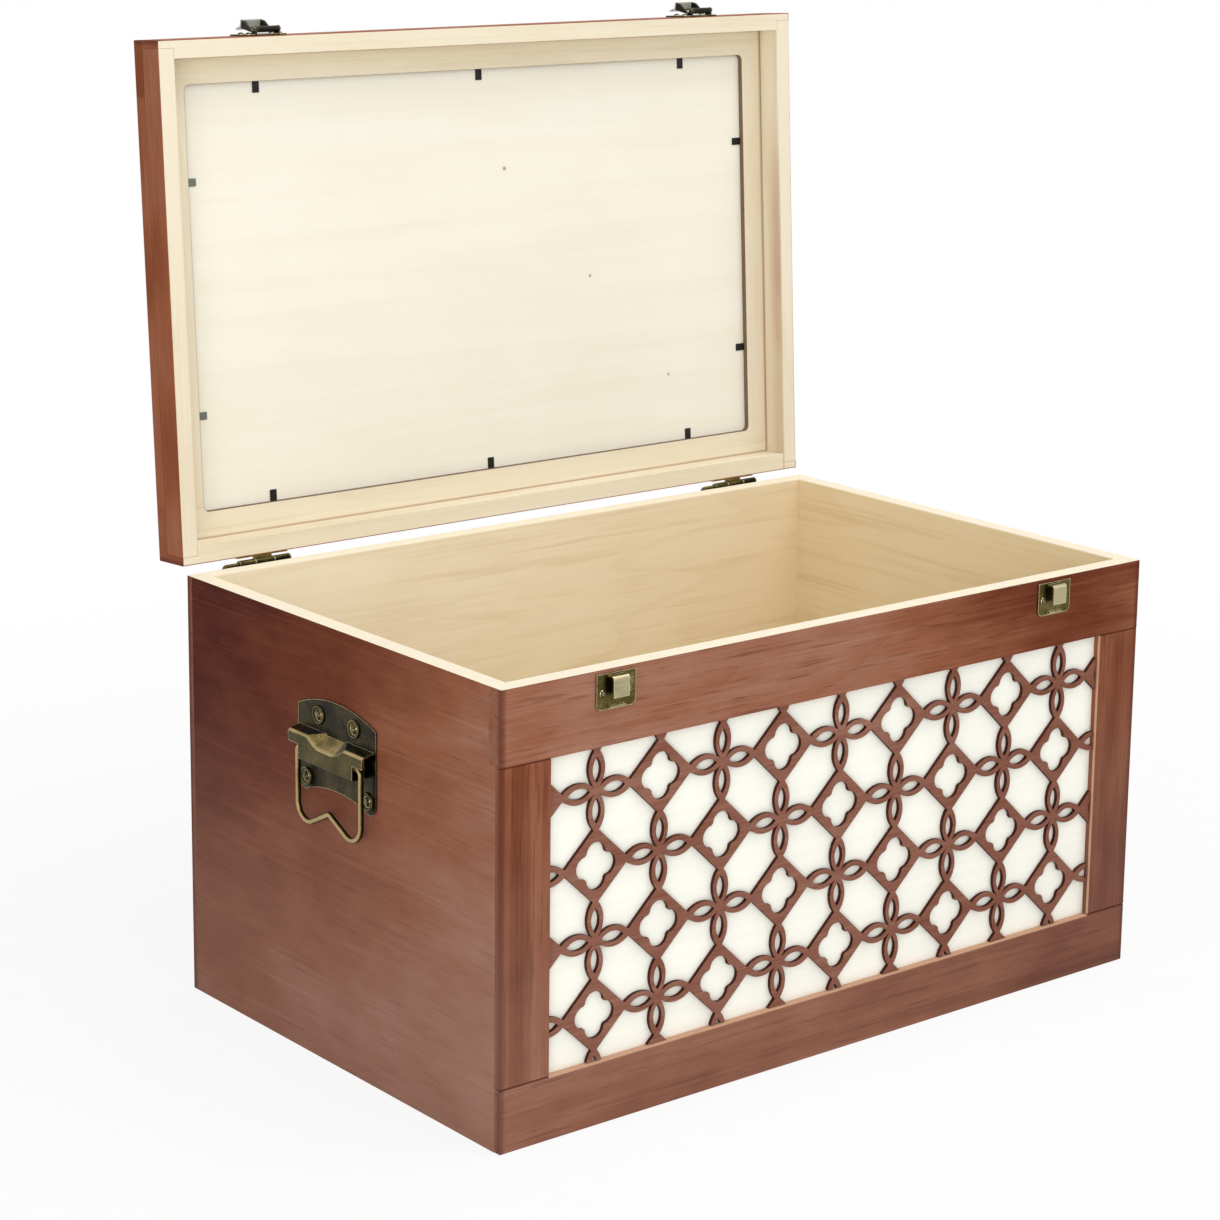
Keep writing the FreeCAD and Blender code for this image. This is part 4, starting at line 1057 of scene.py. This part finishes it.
class TRUNK_OT_hinges(bpy.types.Operator):
    """Dress the hinges, and the screws of the hinges and catches"""

    bl_idname = "trunk.hinges"
    bl_label = "Hinges"

    def execute(self, context):
        metal = context.scene.trunk_metal
        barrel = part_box("left_hinge_body_leaf")[1][1]
        # Brighter brass round the barrels: painted highlight
        band = BrightBand(DEEP, barrel, start=0.005, full=0.003, gain=0.3)
        leaf = brass_material("leaf_brass", metal, (0.7, 0.4, 1.3), band=band)
        for side in SIDES:
            for piece in ("hinge_body_leaf", "hinge_lid_leaf", "hinge_pin"):
                dress(f"{side}_{piece}", leaf, metal.eased_edge)
        for name in ("hinge_body_screws", "hinge_lid_screws", "catch_screws"):
            dress(name, leaf)
        return {"FINISHED"}


class TRUNK_OT_latches(bpy.types.Operator):
    """Dress the latches on the lid, their screws and the catches on the body"""

    bl_idname = "trunk.latches"
    bl_label = "Latches"

    def execute(self, context):
        metal = context.scene.trunk_metal
        strap = -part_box("left_catch")[0][1]
        nose = NOSE_WAY.dot(Vector(joint_named("left_hook_swing")["pos_m"])) + NOSE_REACH
        base = brass_material("base_brass", metal, (2.2, 1.7, 0.8), tone=-0.1)
        # The hook's bright silver nose: painted reflection
        band = BrightBand(NOSE_WAY, nose, start=0.0006, full=0.0001, gain=0.7)
        hook = brass_material(
            "hook_brass", metal, (0.6, 2.1, 1.4), tone=-0.1, band=band, top=metal.silver, metallic=0.35,
            specular=0.15,
        )
        band = BrightBand(DEEP, strap, start=0.0045, full=0.0004, gain=0.3)
        catch = brass_material(
            "catch_brass", metal, (0.5, 0.2, 0.9), tone=0.22, band=band, rub_and_glint=0.0014, top=metal.pale_brass
        )
        pieces = (("latch_base", base), ("latch_hook", hook), ("latch_pin", base), ("catch", catch))
        for side in SIDES:
            for piece, material in pieces:
                dress(f"{side}_{piece}", material, metal.eased_edge)
        dress("latch_screws", base)
        return {"FINISHED"}


class TRUNK_OT_handles(bpy.types.Operator):
    """Dress the handles' plates, bails and screws, and add the cups round the screws"""

    bl_idname = "trunk.handles"
    bl_label = "Handles"

    def execute(self, context):
        metal = context.scene.trunk_metal
        hood = -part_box("left_handle_plate")[0][0]
        bail = -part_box("left_handle_bail")[0][0]
        cup = HALF_LENGTH + SHEET + metal.cup_rise
        band = BrightBand(ACROSS, hood, start=0.0025, full=0.0005, gain=0.14)
        # The crest on the plate is a painted highlight
        plate = brass_material("plate_brass", metal, (0.1, 0.2, 0.3), band=band, crest_highlight=0.35)
        band = BrightBand(ACROSS, cup, start=0.0006, full=0.0, gain=0.3)
        cups = brass_material("cup_brass", metal, (0.4, 1.2, 0.6), band=band)
        # A narrow bright band on the wire's outer side, the rest left dark: painted highlight
        band = BrightBand(ACROSS, bail, start=0.001, full=0.0002, gain=0.5)
        wire = brass_material("wire_brass", metal, (1.4, 0.9, 0.6), tone=0.02, band=band)
        screw = brass_material("screw_brass", metal, (1.9, 0.3, 0.7), tone=0.1)
        for side in SIDES:
            dress(f"{side}_handle_plate", plate, metal.eased_edge)
            dress(f"{side}_handle_bail", wire)
            dress(f"{side}_handle_screws", screw)
            screw_cups(side, metal, cups)
        return {"FINISHED"}


class TRUNK_OT_framers_points(bpy.types.Operator):
    """Dress the framer's points that hold the backing board"""

    bl_idname = "trunk.framers_points"
    bl_label = "Framer's points"

    def execute(self, context):
        metal = context.scene.trunk_metal
        steel = steel_material("framers_steel", metal)
        dress("framers_points", steel, POINT_EDGE_SHARE * metal.eased_edge)
        return {"FINISHED"}


def soft_lamp(name, place, target, size, energy):
    """A square area lamp at a place, aimed at a target."""
    lamp = bpy.data.lights.new(name, "AREA")
    lamp.shape = "SQUARE"
    lamp.size = size
    lamp.energy = energy
    away = (Vector(place) - Vector(target)).normalized()
    aim = away.to_track_quat("Z", "Y").to_matrix().to_4x4()
    placed(name, lamp).matrix_world = Matrix.Translation(place) @ aim


def white_room(strength):
    """A world that lights from all round and shows white to the camera, in metal and through glass."""
    world = bpy.data.worlds.new("studio_room")
    bpy.context.scene.world = world
    room = Nodes(world)
    level = room.spread(room.seen(), strength, 1.0)
    back = room.add("ShaderNodeBackground", {"Color": WHITE, "Strength": level})
    room.add("ShaderNodeOutputWorld", {"Surface": back.outputs[0]})


def pale_floor(studio):
    """A broad pale sheet that shows white to the camera and keeps a soft shadow."""
    corners = ((-1, -1), (1, -1), (1, 1), (-1, 1))
    points = [(x * FLOOR_REACH, y * FLOOR_REACH, -FLOOR_DROP) for x, y in corners]
    mesh = bpy.data.meshes.new("studio_floor")
    mesh.from_pydata(points, [], [(0, 1, 2, 3)])
    floor = placed("studio_floor", mesh)
    paint = Paint("floor_paper")
    tooth = paint.noise(paint.place, PAPER_TOOTH, detail=3)
    shade = paint.ramp(tooth, (0.3, studio.floor_shade), (0.7, studio.floor_paper))
    paper = paint.add("ShaderNodeBsdfDiffuse", {"Color": shade})
    glow = paint.add("ShaderNodeEmission", {"Color": WHITE, "Strength": 1.0})
    clear = paint.fade(paint.away(paint.place), *FLOOR_GLOW_FROM)
    share = paint.times(paint.seen(), paint.spread(clear, *FLOOR_GLOW_SHARES))
    mixed = paint.add("ShaderNodeMixShader", {0: share, 1: paper.outputs[0], 2: glow.outputs[0]})
    paint.add("ShaderNodeOutputMaterial", {"Surface": mixed.outputs[0]})
    mesh.materials.append(paint.owner)


def studio_camera(studio):
    """A camera that looks at the target from its azimuth, elevation and distance, tilted by its roll."""
    turn, lift, roll = studio.azimuth, studio.elevation, studio.roll
    back = Vector((math.sin(turn) * math.cos(lift), -math.cos(turn) * math.cos(lift), math.sin(lift)))
    level = Vector((math.cos(turn), math.sin(turn), 0))
    plumb = back.cross(level)
    right = math.cos(roll) * level + math.sin(roll) * plumb
    up = math.cos(roll) * plumb - math.sin(roll) * level
    camera = bpy.data.cameras.new("studio_camera")
    camera.sensor_width = SENSOR_WIDTH
    camera.lens = studio.lens
    camera.shift_y = studio.shift
    holder = placed("studio_camera", camera)
    axes = Matrix((right, up, back)).transposed().to_4x4()
    holder.matrix_world = Matrix.Translation(Vector(studio.target) + back * studio.distance) @ axes
    bpy.context.scene.camera = holder


class TRUNK_OT_studio(bpy.types.Operator):
    """Set up the floor, the white room, the lamps and the camera"""

    bl_idname = "trunk.studio"
    bl_label = "Studio"

    def execute(self, context):
        studio = context.scene.trunk_studio
        context.scene.view_settings.view_transform = "Standard"
        pale_floor(studio)
        white_room(studio.room_light)
        for name, place, target, size in LAMPS:
            soft_lamp(f"{name}_lamp", place, target, size, getattr(studio, f"{name}_power"))
        studio_camera(studio)
        return {"FINISHED"}


MAKERS = (
    TRUNK_OT_body_boards,
    TRUNK_OT_lid_boards,
    TRUNK_OT_inserts,
    TRUNK_OT_hinges,
    TRUNK_OT_latches,
    TRUNK_OT_handles,
    TRUNK_OT_framers_points,
    TRUNK_OT_studio,
)
SETTINGS = (
    ("trunk_wood", WoodFinish),
    ("trunk_insert", InsertFinish),
    ("trunk_metal", MetalFinish),
    ("trunk_studio", Studio),
)


class VIEW3D_PT_trunk(bpy.types.Panel):
    """Lists the trunk's pieces, finishes and studio"""

    bl_label = "Wooden Trunk"
    bl_space_type = "VIEW_3D"
    bl_region_type = "UI"
    bl_category = "Trunk"

    def draw(self, context):
        for maker in MAKERS:
            self.layout.operator(maker.bl_idname)
        for name, group in SETTINGS:
            box = self.layout.box()
            box.label(text=group.__doc__)
            for key in group.__annotations__:
                box.prop(getattr(context.scene, name), key)


def register():
    """Makes the settings, operators and panel known to Blender."""
    for name, group in SETTINGS:
        bpy.utils.register_class(group)
        setattr(bpy.types.Scene, name, bpy.props.PointerProperty(type=group))
    for entry in (*MAKERS, VIEW3D_PT_trunk):
        bpy.utils.register_class(entry)


def unregister():
    """Takes them away again."""
    for entry in (VIEW3D_PT_trunk, *reversed(MAKERS)):
        bpy.utils.unregister_class(entry)
    for name, group in reversed(SETTINGS):
        delattr(bpy.types.Scene, name)
        bpy.utils.unregister_class(group)


def main():
    """Dresses every piece in order and sets the studio."""
    register()
    for maker in MAKERS:
        group, action = maker.bl_idname.split(".")
        getattr(getattr(bpy.ops, group), action)()


if __name__ == "__main__":
    main()
